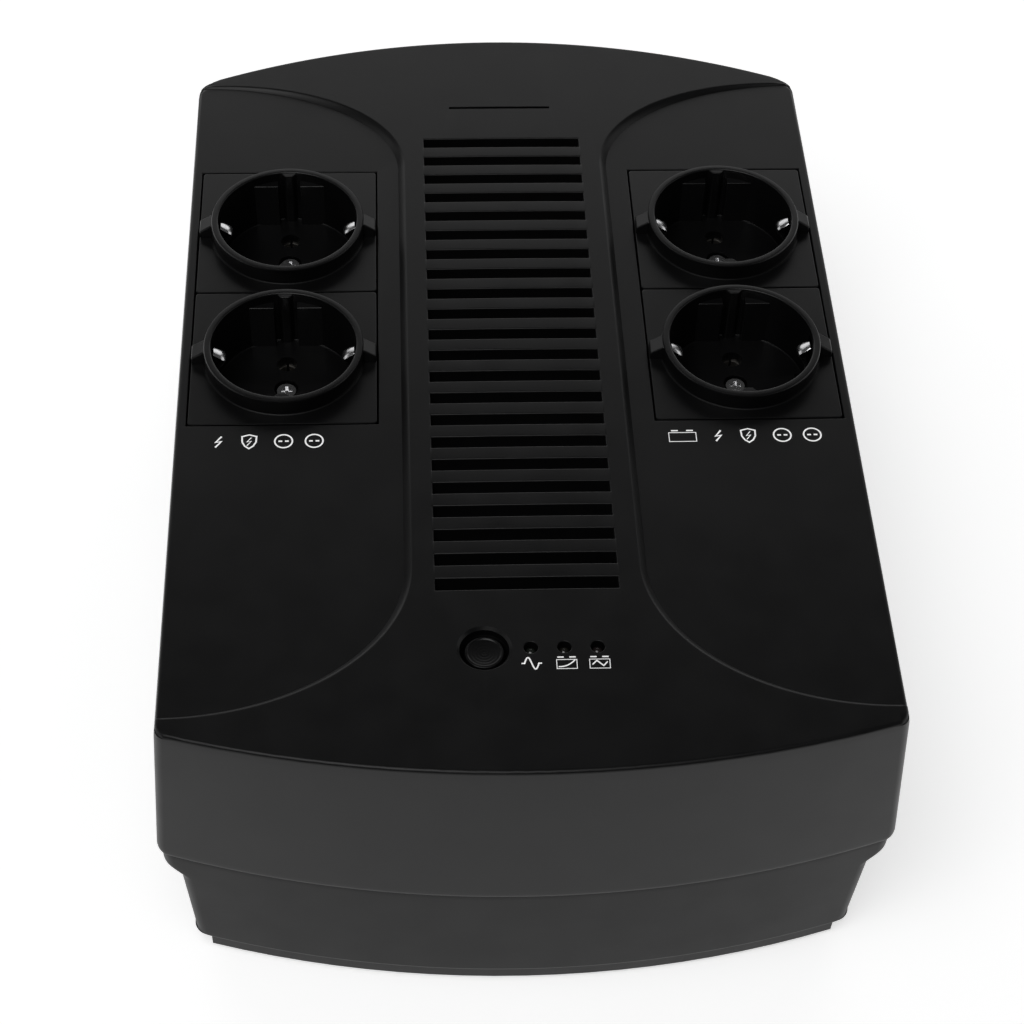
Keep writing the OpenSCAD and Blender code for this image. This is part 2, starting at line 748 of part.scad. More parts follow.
module transformer_core() {
    color("#4f4a45") translate([0, transformer_y, floor_z + 1.2]) difference() {
        block([82, 32, 70], [0, 0, 0]);
        for (s = [-1, 1]) {
            block([14, 40, 42], [s * 21, 0, 14]);
        }
    }
}
module transformer_coil() {
    color("#a5642e") translate([0, transformer_y, floor_z + 1.2]) difference() {
        block([55, 62, 41], [0, 0, 14.5]);
        block([28.4, 32.4, 60], [0, 0, 0]);
    }
}
module transformer_frame() {
    color("#8b8b8d") translate([0, transformer_y, floor_z]) union() {
        block([108, 30, 1.1], [0, 0, 0]);
        for (s = [-1, 1]) {
            block([1.2, 30, 56], [s * 41.7, 0, 0]);
        }
    }
}

module main_board() {
    color("#1d5c36") difference() {
        union() {
            block([150, 48, board_t], [0, 10, main_z]);
            for (p = standoffs) {
                translate([p[0], p[1], tub_z + wall])
                    cylinder(h = main_z - tub_z - wall + 0.5, r = 3, $fn = round_fn);
            }
        }
        for (p = standoffs) {
            translate([p[0], p[1], floor_z]) cylinder(h = 20, r = 1.3, $fn = round_fn);
        }
    }
}
module plate_screws() {
    color("#a9a9ab") for (p = standoffs) {
        translate([p[0], p[1], main_z + board_t + 1.7]) mirror([0, 0, 1]) screw(2.8, 1.6, 1.2, 6.6);
    }
}
module heat_sink() {
    color("#b4b6ba") translate([-6, 18, main_z + board_t]) union() {
        block([44, 3, 46], [0, 0, 0]);
        for (i = [-3:3]) {
            block([1.6, 12.1, 46], [i * 6.8, 7, 0]);
        }
    }
}
module power_transistors() {
    color("#1a1a1a") for (i = [-1.5:1.5]) {
        translate([-6 + i * 11, 14.2, main_z + board_t]) union() {
            block([10, 4.4, 9], [0, 0, 5]);
            block([10, 1.2, 6.5], [0, 1.6, 13.9]);
            for (k = [-1:1]) {
                block([0.8, 0.5, 5.1], [k * 2.54, 0, 0]);
            }
        }
    }
}
module relays() {
    color("#232a5c") for (p = [[36, -0.6], [56, -0.6], [40, 21.4]]) {
        block([15.6, 19.2, 15.4], [p[0], p[1], main_z + board_t]);
    }
}
module capacitors() {
    color("#22335e") for (p = [[-45, -4], [-59, 12], [-43, 24]]) {
        translate([p[0], p[1], main_z + board_t]) cylinder(h = 24, r = 7, $fn = round_fn);
    }
}
module blade_fuse() {
    color("#c98b1c") translate([12, -6, main_z + board_t]) union() {
        block([19, 5, 8], [0, 0, 7]);
        for (s = [-1, 1]) {
            block([5.2, 0.7, 7.1], [s * 6, 0, 0]);
        }
    }
}
module buzzer() {
    color("#141414") translate([60, 24, main_z + board_t]) difference() {
        cylinder(h = 9.5, r = 6, $fn = round_fn);
        translate([0, 0, 5]) cylinder(h = 10, r = 1, $fn = round_fn);
    }
}

// Routes of the inner leads, chosen by hand
terminal_y = battery_y + battery_w / 2 + 6.3;
terminal_z = battery_z + 12.4;
lead_end = main_z + board_t + 0.2;
module battery_leads() {
    color("#8d1f1f") lead([[-63.5, terminal_y, terminal_z], [-63.5, -17, terminal_z + 1], [-60, -16.5, 32],
        [-40, -16, 45], [-18, -12, 42], [-6, -8, 32], [-5, -8, 22], [-5, -8, lead_end]], 1.8);
    color("#1a1a1a") lead([[63.5, terminal_y, terminal_z], [63.5, -17, terminal_z + 1], [60, -17, 32],
        [34, -17, 46], [12, -15, 44], [1, -10, 34], [0, -8, 22], [0, -8, lead_end]], 1.8);
}
module transformer_leads() {
    for (i = [0:3]) {
        color(i < 2 ? "#c8b21e" : "#1f3d8d") lead([[-18 + i * 5, 44, 61.8], [-18 + i * 5, 44, 64],
            [-18 + i * 5, 40, 66.5], [-18 + i * 5, 35.8, 62], [-19 + i * 5.5, 35.5, 45],
            [-22 + i * 7, 35.5, 28], [-24 + i * 8, 34.6, 20], [-24 + i * 8, 32.7, lead_end + 1]], 1.2);
    }
}
module mains_leads() {
    for (i = [0:2]) {
        color(["#5b3a1e", "#5a8a2a", "#1f3d8d"][i]) lead([[inlet_x - 7 + i * 7, panel_y - 27,
            bay_mid + [-2, 2, -2][i]], [inlet_x - 3.4 + i * 7, 98.6, bay_mid - 3], [40 + i * 5.5, 91.5, 34],
            [49 + i * 5, 82, 29], [57 + i * 5, 58, 24], [57 + i * 5, 42, 20],
            [57 + i * 5, 32.7, lead_end + 1]], 1.2);
    }
}
module socket_leads() {
    for (s = [-1, 1], k = [0, 1]) {
        color(k == 0 ? "#5b3a1e" : "#1f3d8d") lead([[s * socket_x, socket_ys[1] + (k - 0.5) * pin_pitch,
            panel_z + body_low - 6.6], [s * (socket_x - 2), socket_ys[1] + (k - 0.5) * pin_pitch, 50],
            [s * (socket_x + 10), 8 + k * 4, 38], [s * 71.5, 10 + k * 4, 26],
            [s * 71.5, 12 + k * 4, lead_end]], 1.2);
    }
}
// Flat cable from the control board to the main board
module ribbon_cable() {
    color("#9b9ba0") translate([30, 0, 0]) rotate([90, 0, 90]) linear_extrude(height = 8)
        polygon([[-87, 75.2], [-30, 75.2], [-20, 73], [-13.5, 60], [-12, main_z + board_t],
            [-11.2, main_z + board_t], [-12.6, 60.2], [-19.4, 73.8], [-29.8, 76.2], [-87, 76.2]]);
}

module socket_rear_left() {
    socket_housing([-socket_x, socket_ys[0]]);
}
module socket_rear_right() {
    socket_housing([socket_x, socket_ys[0]]);
}
module socket_front_left() {
    socket_housing([-socket_x, socket_ys[1]]);
}
module socket_front_right() {
    socket_housing([socket_x, socket_ys[1]]);
}
module earth_clip_rear_left() {
    earth_clip([-socket_x, socket_ys[0]]);
}
module earth_clip_rear_right() {
    earth_clip([socket_x, socket_ys[0]]);
}
module earth_clip_front_left() {
    earth_clip([-socket_x, socket_ys[1]]);
}
module earth_clip_front_right() {
    earth_clip([socket_x, socket_ys[1]]);
}
module contacts_rear_left() {
    pin_contacts([-socket_x, socket_ys[0]]);
}
module contacts_rear_right() {
    pin_contacts([socket_x, socket_ys[0]]);
}
module contacts_front_left() {
    pin_contacts([-socket_x, socket_ys[1]]);
}
module contacts_front_right() {
    pin_contacts([socket_x, socket_ys[1]]);
}

top_cover();
base_tub();
bottom_plate();
rubber_feet();
cover_screws();
plate_screws();
socket_rear_left();
socket_rear_right();
socket_front_left();
socket_front_right();
earth_clip_rear_left();
earth_clip_rear_right();
earth_clip_front_left();
earth_clip_front_right();
contacts_rear_left();
contacts_rear_right();
contacts_front_left();
contacts_front_right();
socket_screws();
button_ring();
power_button();
button_spring();
push_switch();
mains_lamp();
battery_lamp();
fault_lamp();
control_board();
rear_panel();
mains_inlet();
inlet_pins();
breaker_body();
breaker_nut();
reset_button();
surge_jacks();
data_port();
battery();
battery_terminals();
battery_strap();
battery_pad();
transformer_core();
transformer_coil();
transformer_frame();
main_board();
heat_sink();
power_transistors();
relays();
capacitors();
blade_fuse();
buzzer();
battery_leads();
transformer_leads();
mains_leads();
socket_leads();
ribbon_cable();
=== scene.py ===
"""Looks of the desktop uninterruptible power supply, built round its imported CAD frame.

Lengths are in millimetres in the frame's axes until a mesh is made, and MM turns them into metres.
"""
import math

import bmesh
import bpy
from mathutils import Matrix, Vector, geometry


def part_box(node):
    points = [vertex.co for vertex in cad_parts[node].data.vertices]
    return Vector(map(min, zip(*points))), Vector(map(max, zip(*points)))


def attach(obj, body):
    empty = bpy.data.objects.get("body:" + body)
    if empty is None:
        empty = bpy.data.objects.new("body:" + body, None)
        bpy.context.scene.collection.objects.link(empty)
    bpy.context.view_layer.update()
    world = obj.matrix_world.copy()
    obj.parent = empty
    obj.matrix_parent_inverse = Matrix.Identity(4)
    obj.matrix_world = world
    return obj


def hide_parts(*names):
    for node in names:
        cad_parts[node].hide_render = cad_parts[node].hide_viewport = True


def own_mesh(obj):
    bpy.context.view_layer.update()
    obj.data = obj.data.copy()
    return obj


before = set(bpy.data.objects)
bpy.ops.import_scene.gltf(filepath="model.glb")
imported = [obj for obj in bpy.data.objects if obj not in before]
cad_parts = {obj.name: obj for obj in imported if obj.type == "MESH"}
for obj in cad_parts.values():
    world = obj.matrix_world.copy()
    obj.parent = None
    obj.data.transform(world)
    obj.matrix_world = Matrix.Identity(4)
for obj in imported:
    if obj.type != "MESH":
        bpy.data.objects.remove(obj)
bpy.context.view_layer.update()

MM = 0.001
CASE = "case"


def box_mm(node):
    """Lowest and highest corner of a CAD node, in millimetres."""
    low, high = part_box(node)
    return [v / MM for v in low], [v / MM for v in high]


def middle_mm(node):
    low, high = box_mm(node)
    return [(a + b) / 2 for a, b in zip(low, high)]


def new_object(name, data):
    """A new object, linked to the scene."""
    thing = bpy.data.objects.new(name, data)
    bpy.context.scene.collection.objects.link(thing)
    return thing


# -------------------- sizes taken from the frame
cover_low, cover_high = box_mm("top_cover")
plate_high = box_mm("bottom_plate")[1]
panel_low, panel_high = box_mm("rear_panel")
button_x, button_y, _ = middle_mm("power_button")
lamp_xs = [middle_mm(n)[0] for n in ("mains_lamp", "battery_lamp", "fault_lamp")]
lamp_y = middle_mm("mains_lamp")[1]
SOCKETS = ["socket_rear_left", "socket_rear_right", "socket_front_left", "socket_front_right"]
socket_at = {n: middle_mm(n)[:2] for n in SOCKETS}
socket_x = abs(socket_at[SOCKETS[0]][0])
socket_y = sorted({round(at[1], 3) for at in socket_at.values()})
socket_mid_y = sum(socket_y) / 2
plate_side = box_mm(SOCKETS[0])[1][0] - box_mm(SOCKETS[0])[0][0]
KEEP_IN = 0.01
rim_z = box_mm(SOCKETS[0])[1][2] - KEEP_IN

CASE_TOP = cover_high[2]
SEAM_Z = cover_low[2]
SEAM_HALF = cover_high[0] - KEEP_IN
TUB_Z = plate_high[2]
TOP_HALF = 90.0
PANEL_DROP, CROWN_FALL = 2.0, 1.7
PANEL_Z = CASE_TOP - PANEL_DROP
CROWN_R = TOP_HALF ** 2 / (2 * CROWN_FALL)
WALL = 2.5
BAY_HALF, BAY_LOW, BAY_HIGH, BAY_Y = 62.0, 14.0, 64.0, panel_high[1]
LINER_INSET, LINER_WALL, LINER_DEEP = 1.6, 2.0, 2.5
# The back is flatter than the CAD's, whose radius is 204, and stays inside the CAD's box.
FRONT_R, REAR_R = 290.0, 234.0
FRONT_END, REAR_END = 136.8, 136.75
FRONT_CORNER, REAR_CORNER = 3.2, 6.0
END_LEAN = 2.0
REAR_LEAN = END_LEAN * (CASE_TOP - SEAM_Z) / (CASE_TOP - BAY_HIGH)
TUB_INSET = 0.7
TUB_LEAN = 1.9
TUB_CORNERS = (4.5, 6.5)
FRONT_AXIS = FRONT_R - FRONT_END
REAR_AXIS = REAR_END - REAR_R
SPINE_HALF = 30.5
BEVEL, BEVEL_STEP, BEVEL_CURVE = 2.2, 1.8, 1.5
SWEEP_W = TOP_HALF - SPINE_HALF
SWEEPS = {1: (78.8, 38.0), -1: (-73.1, 44.4)}
SLOTS, SLOT_PITCH, SLOT_LEN, SLOT_W, GRILLE_Y = 22, 8.0, 45.6, 3.6, 4.6
COLLAR_R, WELL_R = 21.5, 19.5
WELL_DEPTH = 17.5
WELL_HALF_R = 6.1
LAMP_R = 1.75
HALF_GAP = 0.18
HEEL, HEEL_STEP = 2.5, 0.7

# -------------------- camera
CAMERA_TARGET = (-2.78, -56.05, CASE_TOP)
CAMERA_AZIMUTH, CAMERA_ELEVATION, CAMERA_ROLL = -4.06, 48.86, 2.25
CAMERA_DISTANCE = 602.6
CAMERA_LENS = 83.12


def make_camera():
    """In front of the object, above it and a little to its left, rolled slightly."""
    a, e = math.radians(CAMERA_AZIMUTH), math.radians(CAMERA_ELEVATION)
    back = Vector((math.sin(a) * math.cos(e), -math.cos(a) * math.cos(e), math.sin(e)))
    data = bpy.data.cameras.new("camera")
    data.lens = CAMERA_LENS
    data.sensor_width = 36
    data.clip_start = 0.01
    camera = new_object("camera", data)
    turn = back.to_track_quat("Z", "Y").to_matrix() @ Matrix.Rotation(
        math.radians(CAMERA_ROLL), 3, "Z")
    place = (Vector(CAMERA_TARGET) + back * CAMERA_DISTANCE) * MM
    camera.matrix_world = Matrix.Translation(place) @ turn.to_4x4()
    bpy.context.scene.camera = camera


make_camera()


# -------------------- materials
def node_material(name):
    material = bpy.data.materials.new(name)
    material.use_nodes = True
    tree = material.node_tree
    shader = tree.nodes["Principled BSDF"]
    return material, tree, shader


def add(tree, kind, **values):
    node = tree.nodes.new(kind)
    for key, value in values.items():
        if key in node.inputs:
            node.inputs[key].default_value = value
        else:
            setattr(node, key, value)
    return node


def noise(tree, scale, detail=3.0):
    where = add(tree, "ShaderNodeTexCoord")
    texture = add(tree, "ShaderNodeTexNoise", Scale=scale, Detail=detail)
    tree.links.new(where.outputs["Object"], texture.inputs["Vector"])
    return texture.outputs["Fac"]


def ramp(tree, source, low, high, at=(0.35, 0.65)):
    """Maps source between two values, both colours or both numbers."""
    number = isinstance(low, (int, float))
    node = add(tree, "ShaderNodeMapRange") if number else add(tree, "ShaderNodeValToRGB")
    tree.links.new(source, node.inputs["Value" if number else "Fac"])
    if number:
        for key, value in zip(("From Min", "From Max", "To Min", "To Max"), (*at, low, high)):
            node.inputs[key].default_value = value
        return node.outputs["Result"]
    for stop, place, colour in zip(node.color_ramp.elements, at, (low, high)):
        stop.position = place
        stop.color = (*colour, 1)
    return node.outputs["Color"]


def finish_bump(tree, shader, source, depth, strength):
    bump = add(tree, "ShaderNodeBump", Strength=strength, Distance=depth)
    tree.links.new(source, bump.inputs["Height"])
    tree.links.new(bump.outputs["Normal"], shader.inputs["Normal"])


def plastic(name, colour, rough, grain=2600.0, grain_depth=0.00003, grain_strength=0.3, spread=0.02,
            coat=0.0, shine=0.5):
    """Moulded plastic: spark-eroded grain, slightly uneven gloss, edges rubbed lighter."""
    material, tree, shader = node_material(name)
    cloud = noise(tree, 90.0, 5.0)
    fine = noise(tree, grain, 2.0)
    edge = add(tree, "ShaderNodeNewGeometry").outputs["Pointiness"]
    dark = tuple(c * 0.93 for c in colour)
    light = tuple(c * 1.07 for c in colour)
    body = ramp(tree, cloud, dark, light)
    worn = add(tree, "ShaderNodeMix", data_type="RGBA")
    tree.links.new(ramp(tree, edge, 0.0, 0.35, (0.51, 0.58)), worn.inputs["Factor"])
    tree.links.new(body, worn.inputs["A"])
    worn.inputs["B"].default_value = (*[c * 2.2 + 0.002 for c in colour], 1)
    tree.links.new(worn.outputs["Result"], shader.inputs["Base Color"])
    tree.links.new(ramp(tree, cloud, rough - spread, rough + spread), shader.inputs["Roughness"])
    finish_bump(tree, shader, fine, grain_depth, grain_strength)
    shader.inputs["Specular IOR Level"].default_value = shine
    if coat:
        shader.inputs["Coat Weight"].default_value = coat
        shader.inputs["Coat Roughness"].default_value = 0.15
    return material


def metal(name, colour, rough, brush=(1.0, 1.0, 1.0), scale=900.0):
    """Plated or rolled metal: colour a little uneven, fine lines along the rolling direction."""
    material, tree, shader = node_material(name)
    shader.inputs["Metallic"].default_value = 1.0
    where = add(tree, "ShaderNodeTexCoord")
    stretch = add(tree, "ShaderNodeMapping")
    stretch.inputs["Scale"].default_value = brush
    lines = add(tree, "ShaderNodeTexNoise", Scale=scale, Detail=3.0)
    tree.links.new(where.outputs["Object"], stretch.inputs["Vector"])
    tree.links.new(stretch.outputs["Vector"], lines.inputs["Vector"])
    cloud = noise(tree, 120.0)
    dark = tuple(c * 0.8 for c in colour)
    tree.links.new(ramp(tree, cloud, dark, colour), shader.inputs["Base Color"])
    tree.links.new(ramp(tree, lines.outputs["Fac"], rough * 0.8, rough * 1.25),
                   shader.inputs["Roughness"])
    finish_bump(tree, shader, lines.outputs["Fac"], 0.00001, 0.25)
    return material


def ink(name, colour):
    """Pad-printed ink: slightly thin in places, with a painted glow that lifts it above the light it gets.
    """
    material, tree, shader = node_material(name)
    thin = noise(tree, 1500.0)
    tree.links.new(ramp(tree, thin, tuple(c * 0.82 for c in colour), colour, (0.25, 0.5)),
                   shader.inputs["Base Color"])
    tree.links.new(ramp(tree, thin, 0.45, 0.6), shader.inputs["Roughness"])
    # painted glow: the ink emits light in its own colour, though it is no lamp
    shader.inputs["Emission Color"].default_value = (*colour, 1)
    shader.inputs["Emission Strength"].default_value = 0.35
    return material


case_black = plastic("case_black_plastic", (0.0028, 0.0028, 0.0030), 0.38, shine=0.26)
tub_black = plastic("tub_black_plastic", (0.0034, 0.0034, 0.0036), 0.42, shine=0.15)
socket_black = plastic("socket_black_plastic", (0.0024, 0.0024, 0.0026), 0.34, grain_strength=0.2,
                       shine=0.3)
well_black = plastic("contact_carrier_plastic", (0.0045, 0.0045, 0.0047), 0.45)
button_black = plastic("button_satin_plastic", (0.0024, 0.0024, 0.0026), 0.32, grain_strength=0.12,
                       shine=0.3)
panel_black = plastic("panel_black_plastic", (0.0085, 0.0085, 0.0088), 0.5, grain_depth=0.00005)
rubber = plastic("foot_rubber", (0.012, 0.012, 0.012), 0.75, grain=1800.0, grain_strength=0.6)
white_ink = ink("white_ink", (0.92, 0.92, 0.92))
steel = metal("plated_steel", (0.78, 0.78, 0.79), 0.22, (1, 8, 1))
zinc = metal("zinc_steel", (0.55, 0.55, 0.57), 0.34)
contact_metal = metal("contact_nickel", (0.42, 0.40, 0.37), 0.38, (1, 1, 6))
alu = metal("sink_aluminium", (0.70, 0.71, 0.73), 0.38, (1, 1, 10))
tin = metal("tinned_shell", (0.66, 0.66, 0.68), 0.3, (8, 1, 1))
coil = metal("winding_wire", (0.62, 0.27, 0.10), 0.42, (1, 1, 14), 700.0)
board = plastic("solder_mask", (0.012, 0.09, 0.03), 0.3, grain=900.0, coat=0.5)
core = plastic("varnished_core", (0.06, 0.05, 0.042), 0.5, grain=700.0, grain_depth=0.0001)
battery_case = plastic("battery_case_plastic", (0.045, 0.048, 0.055), 0.45)
foam = plastic("closed_cell_foam", (0.02, 0.02, 0.02), 0.9, grain=1400.0, grain_depth=0.0002,
               grain_strength=0.8)
epoxy = plastic("component_epoxy", (0.014, 0.014, 0.014), 0.5)
relay_blue = plastic("relay_blue_plastic", (0.012, 0.02, 0.12), 0.35)
sleeve_blue = plastic("capacitor_sleeve", (0.015, 0.028, 0.10), 0.28)
amber = plastic("fuse_amber_plastic", (0.55, 0.24, 0.02), 0.2)
red_lead = plastic("red_lead_pvc", (0.30, 0.012, 0.012), 0.38)
grey_lead = plastic("grey_lead_pvc", (0.10, 0.10, 0.11), 0.38)
ribbon = plastic("ribbon_pvc", (0.22, 0.22, 0.23), 0.42)


def lamp_glass(name, colour):
    """Unlit lamp: diffused tinted epoxy."""
    material, tree, shader = node_material(name)
    cloud = noise(tree, 900.0)
    tree.links.new(ramp(tree, cloud, tuple(c * 0.7 for c in colour), colour),
                   shader.inputs["Base Color"])
    tree.links.new(ramp(tree, cloud, 0.12, 0.25), shader.inputs["Roughness"])
    shader.inputs["Coat Weight"].default_value = 0.6
    return material


# -------------------- mesh building
def mark_sharp(bm, sharp):
    """Smooth faces, with sharp edges where the faces meet at more than this angle."""
    limit = math.radians(sharp)
    for face in bm.faces:
        face.smooth = True
    for edge in bm.edges:
        edge.smooth = len(edge.link_faces) == 2 and edge.calc_face_angle(0) < limit


class Solid:
    """Collects faces in millimetres and welds them into one mesh."""

    def __init__(self):
        self.points = []
        self.faces = []

    def add(self, points):
        start = len(self.points)
        self.points.extend(tuple(p) for p in points)
        return list(range(start, len(self.points)))

    def bridge(self, a, b, closed=True):
        n = len(a)
        for i in range(n if closed else n - 1):
            j = (i + 1) % n
            self.faces.append((a[i], a[j], b[j], b[i]))

    def loft(self, levels, closed=True):
        rings = [self.add(level) for level in levels]
        for a, b in zip(rings, rings[1:]):
            self.bridge(a, b, closed)
        return rings

    def prism(self, plan, low, high):
        """A plan outline between two heights, capped."""
        lower, upper = self.loft([raised(plan, low), raised(plan, high)])
        self.faces.append(tuple(reversed(lower)))
        self.faces.append(tuple(upper))

    def circles(self, profile, centre, count):
        """One ring of points for each (radius, height) of a profile."""
        turns = [2 * math.pi * i / count for i in range(count)]
        return [self.add((centre[0] + r * math.cos(a), centre[1] + r * math.sin(a), z) for a in turns)
                for r, z in profile]

    def lathe(self, profile, centre, count):
        """A closed profile of (radius, height) turned round an upright axis."""
        rings = self.circles(profile, centre, count)
        for a, b in zip(rings, rings[1:] + rings[:1]):
            self.bridge(a, b)

    def turned(self, profile, centre, count):
        """A solid of revolution: the profile starts and ends on the axis."""
        rings = [self.add([(centre[0], centre[1], profile[0][1])])]
        rings += self.circles(profile[1:-1], centre, count)
        rings.append(self.add([(centre[0], centre[1], profile[-1][1])]))
        for a, b in zip(rings[1:-1], rings[2:-1]):
            self.bridge(a, b)
        for tip, ring in ((rings[0], rings[1]), (rings[-1], rings[-2])):
            for i in range(count):
                self.faces.append((tip[0], ring[i], ring[(i + 1) % count]))

    def to_object(self, name, material, sharp=35.0):
        mesh = bpy.data.meshes.new(name)
        mesh.from_pydata([Vector(p) * MM for p in self.points], [], self.faces)
        bm = bmesh.new()
        bm.from_mesh(mesh)
        bmesh.ops.remove_doubles(bm, verts=bm.verts, dist=2e-6)
        bmesh.ops.dissolve_degenerate(bm, edges=bm.edges, dist=1e-6)
        bmesh.ops.recalc_face_normals(bm, faces=bm.faces)
        mark_sharp(bm, sharp)
        bm.to_mesh(mesh)
        bm.free()
        mesh.materials.append(material)
        return new_object(name, mesh)


def bevel(piece, width, segments=2, angle=40.0):
    """Rounds the sharp edges and keeps the flats flat in shading."""
    mod = piece.modifiers.new("edge_round", "BEVEL")
    mod.width = width * MM
    mod.segments = segments
    mod.limit_method = "ANGLE"
    mod.angle_limit = math.radians(angle)
    mod.harden_normals = True
    mod.miter_outer = "MITER_ARC"
    return piece


def flatten_shading(piece):
    mod = piece.modifiers.new("flat_shading", "WEIGHTED_NORMAL")
    mod.mode = "FACE_AREA"
    mod.weight = 100
    mod.keep_sharp = True
    return piece


def apply_modifiers(piece):
    graph = bpy.context.evaluated_depsgraph_get()
    mesh = bpy.data.meshes.new_from_object(piece.evaluated_get(graph))
    piece.modifiers.clear()
    old = piece.data
    piece.data = mesh
    bpy.data.meshes.remove(old)
    return piece


def combine(piece, other, operation):
    """Adds or cuts away another piece, which is used up."""
    mod = piece.modifiers.new("combine", "BOOLEAN")
    mod.operation = operation
    mod.solver = "EXACT"
    mod.object = other
    apply_modifiers(piece)
    bpy.data.objects.remove(other)
    return piece


def join(name, pieces):
    """Several closed meshes as one object."""
    bm = bmesh.new()
    for piece in pieces:
        apply_modifiers(piece)
        bm.from_mesh(piece.data)
    mesh = bpy.data.meshes.new(name)
    bm.to_mesh(mesh)
    bm.free()
    mesh.materials.append(pieces[0].data.materials[0])
    for piece in pieces:
        bpy.data.objects.remove(piece)
    return new_object(name, mesh)


def settle(piece, nodes, body=CASE):
    """Ties a finished piece to its body and hides the CAD nodes that it stands for."""
    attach(piece, body)
    if nodes:
        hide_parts(*nodes)
    return piece


# -------------------- outlines in plan
def arc(cx, cy, rx, ry, start, end, n):
    """Points on an ellipse between two angles in degrees."""
    angles = [math.radians(start + (end - start) * i / n) for i in range(n + 1)]
    return [(cx + rx * math.cos(a), cy + ry * math.sin(a)) for a in angles]


def circle(cx, cy, r, n):
    """Circle of n points, without a repeat of the first."""
    return arc(cx, cy, r, r, 0, 360 - 360 / n, n - 1)


def raised(plan, z):
    """Points of a plan outline at one height."""
    return [(x, y, z) for x, y in plan]


def rounded_rect(cx, cy, w, h, r, n=4):
    points = []
    for sx, sy, start in ((1, -1, -90), (1, 1, 0), (-1, 1, 90), (-1, -1, 180)):
        points += arc(cx + sx * (w / 2 - r), cy + sy * (h / 2 - r), r, r, start, start + 90, n)
    return points


def bowed_outline(half, front_r, rear_r, corner_f, corner_r, inset=0.0):
    """Outline with straight sides, bowed ends and rounded corners, anticlockwise from the front left.

    Every outline has the same number of points in each stretch, so outlines loft into each other.
    """
    half, front_r, rear_r = half - inset, front_r - inset, rear_r - inset
    corner_f, corner_r = max(corner_f - inset, 0.05), max(corner_r - inset, 0.05)
    fx, rx = half - corner_f, half - corner_r
    fy = FRONT_AXIS - math.sqrt((front_r - corner_f) ** 2 - fx * fx)
    ry = REAR_AXIS + math.sqrt((rear_r - corner_r) ** 2 - rx * rx)
    f_turn = math.degrees(math.asin(fx / (front_r - corner_f)))
    r_turn = math.degrees(math.asin(rx / (rear_r - corner_r)))
    stretches = [
        arc(0, FRONT_AXIS, front_r, front_r, -90 - f_turn, -90 + f_turn, 72),
        arc(fx, fy, corner_f, corner_f, -90 + f_turn, 0, 8),
        [(half, fy + (ry - fy) * i / 12) for i in range(13)],
        arc(rx, ry, corner_r, corner_r, 0, 90 - r_turn, 8),
        arc(0, REAR_AXIS, rear_r, rear_r, 90 - r_turn, 90 + r_turn, 72),
        arc(-rx, ry, corner_r, corner_r, 90 + r_turn, 180, 8),
        [(-half, ry + (fy - ry) * i / 12) for i in range(13)],
        arc(-fx, fy, corner_f, corner_f, 180, 270 - f_turn, 8),
    ]
    return [p for stretch in stretches for p in stretch[:-1]]


def upper_outline(z, inset=0.0):
    """Outline of the upper case at a height."""
    fall = (CASE_TOP - z) / (CASE_TOP - SEAM_Z)
    side_fall = min(1.0, (CASE_TOP - z) / (CASE_TOP - SEAM_Z - HEEL))
    half = TOP_HALF + (SEAM_HALF - TOP_HALF) * side_fall
    half -= HEEL_STEP * max(0.0, (SEAM_Z + HEEL - z) / HEEL) ** 2
    return bowed_outline(half, FRONT_R + END_LEAN * fall, REAR_R + REAR_LEAN * fall, FRONT_CORNER,
                         REAR_CORNER, inset)


def tub_outline(z, half, inset=0.0):
    """Outline of the lower case at a height, with its own half width."""
    fall = (SEAM_Z - z) / (SEAM_Z - TUB_Z)
    return bowed_outline(half, FRONT_R + END_LEAN - TUB_INSET - TUB_LEAN * fall,
                         REAR_R + REAR_LEAN - TUB_INSET - TUB_LEAN * fall, *TUB_CORNERS, inset)


def along(loop, seats):
    """Points of a closed outline at (segment, share) seats."""
    out = []
    for k, share in seats:
        (x0, y0), (x1, y1) = loop[k], loop[(k + 1) % len(loop)]
        out.append((x0 + (x1 - x0) * share, y0 + (y1 - y0) * share))
    return out


def unit2(x, y):
    size = math.hypot(x, y)
    return (x / size, y / size) if size > 1e-9 else (0, 0)


def seat_on(loop, point):
    """The (segment, share) of a closed outline nearest to a point."""
    best = None
    for k, (x0, y0) in enumerate(loop):
        x1, y1 = loop[(k + 1) % len(loop)]
        dx, dy = x1 - x0, y1 - y0
        share = ((point[0] - x0) * dx + (point[1] - y0) * dy) / (dx * dx + dy * dy)
        share = min(1.0, max(0.0, share))
        gap = math.hypot(x0 + dx * share - point[0], y0 + dy * share - point[1])
        if best is None or gap < best[0]:
            best = (gap, k, share)
    return best[1], best[2]


def is_inside(loop, x, y):
    inside = False
    for (x0, y0), (x1, y1) in zip(loop, loop[1:] + loop[:1]):
        if (y0 > y) != (y1 > y) and x < x0 + (y - y0) * (x1 - x0) / (y1 - y0):
            inside = not inside
    return inside


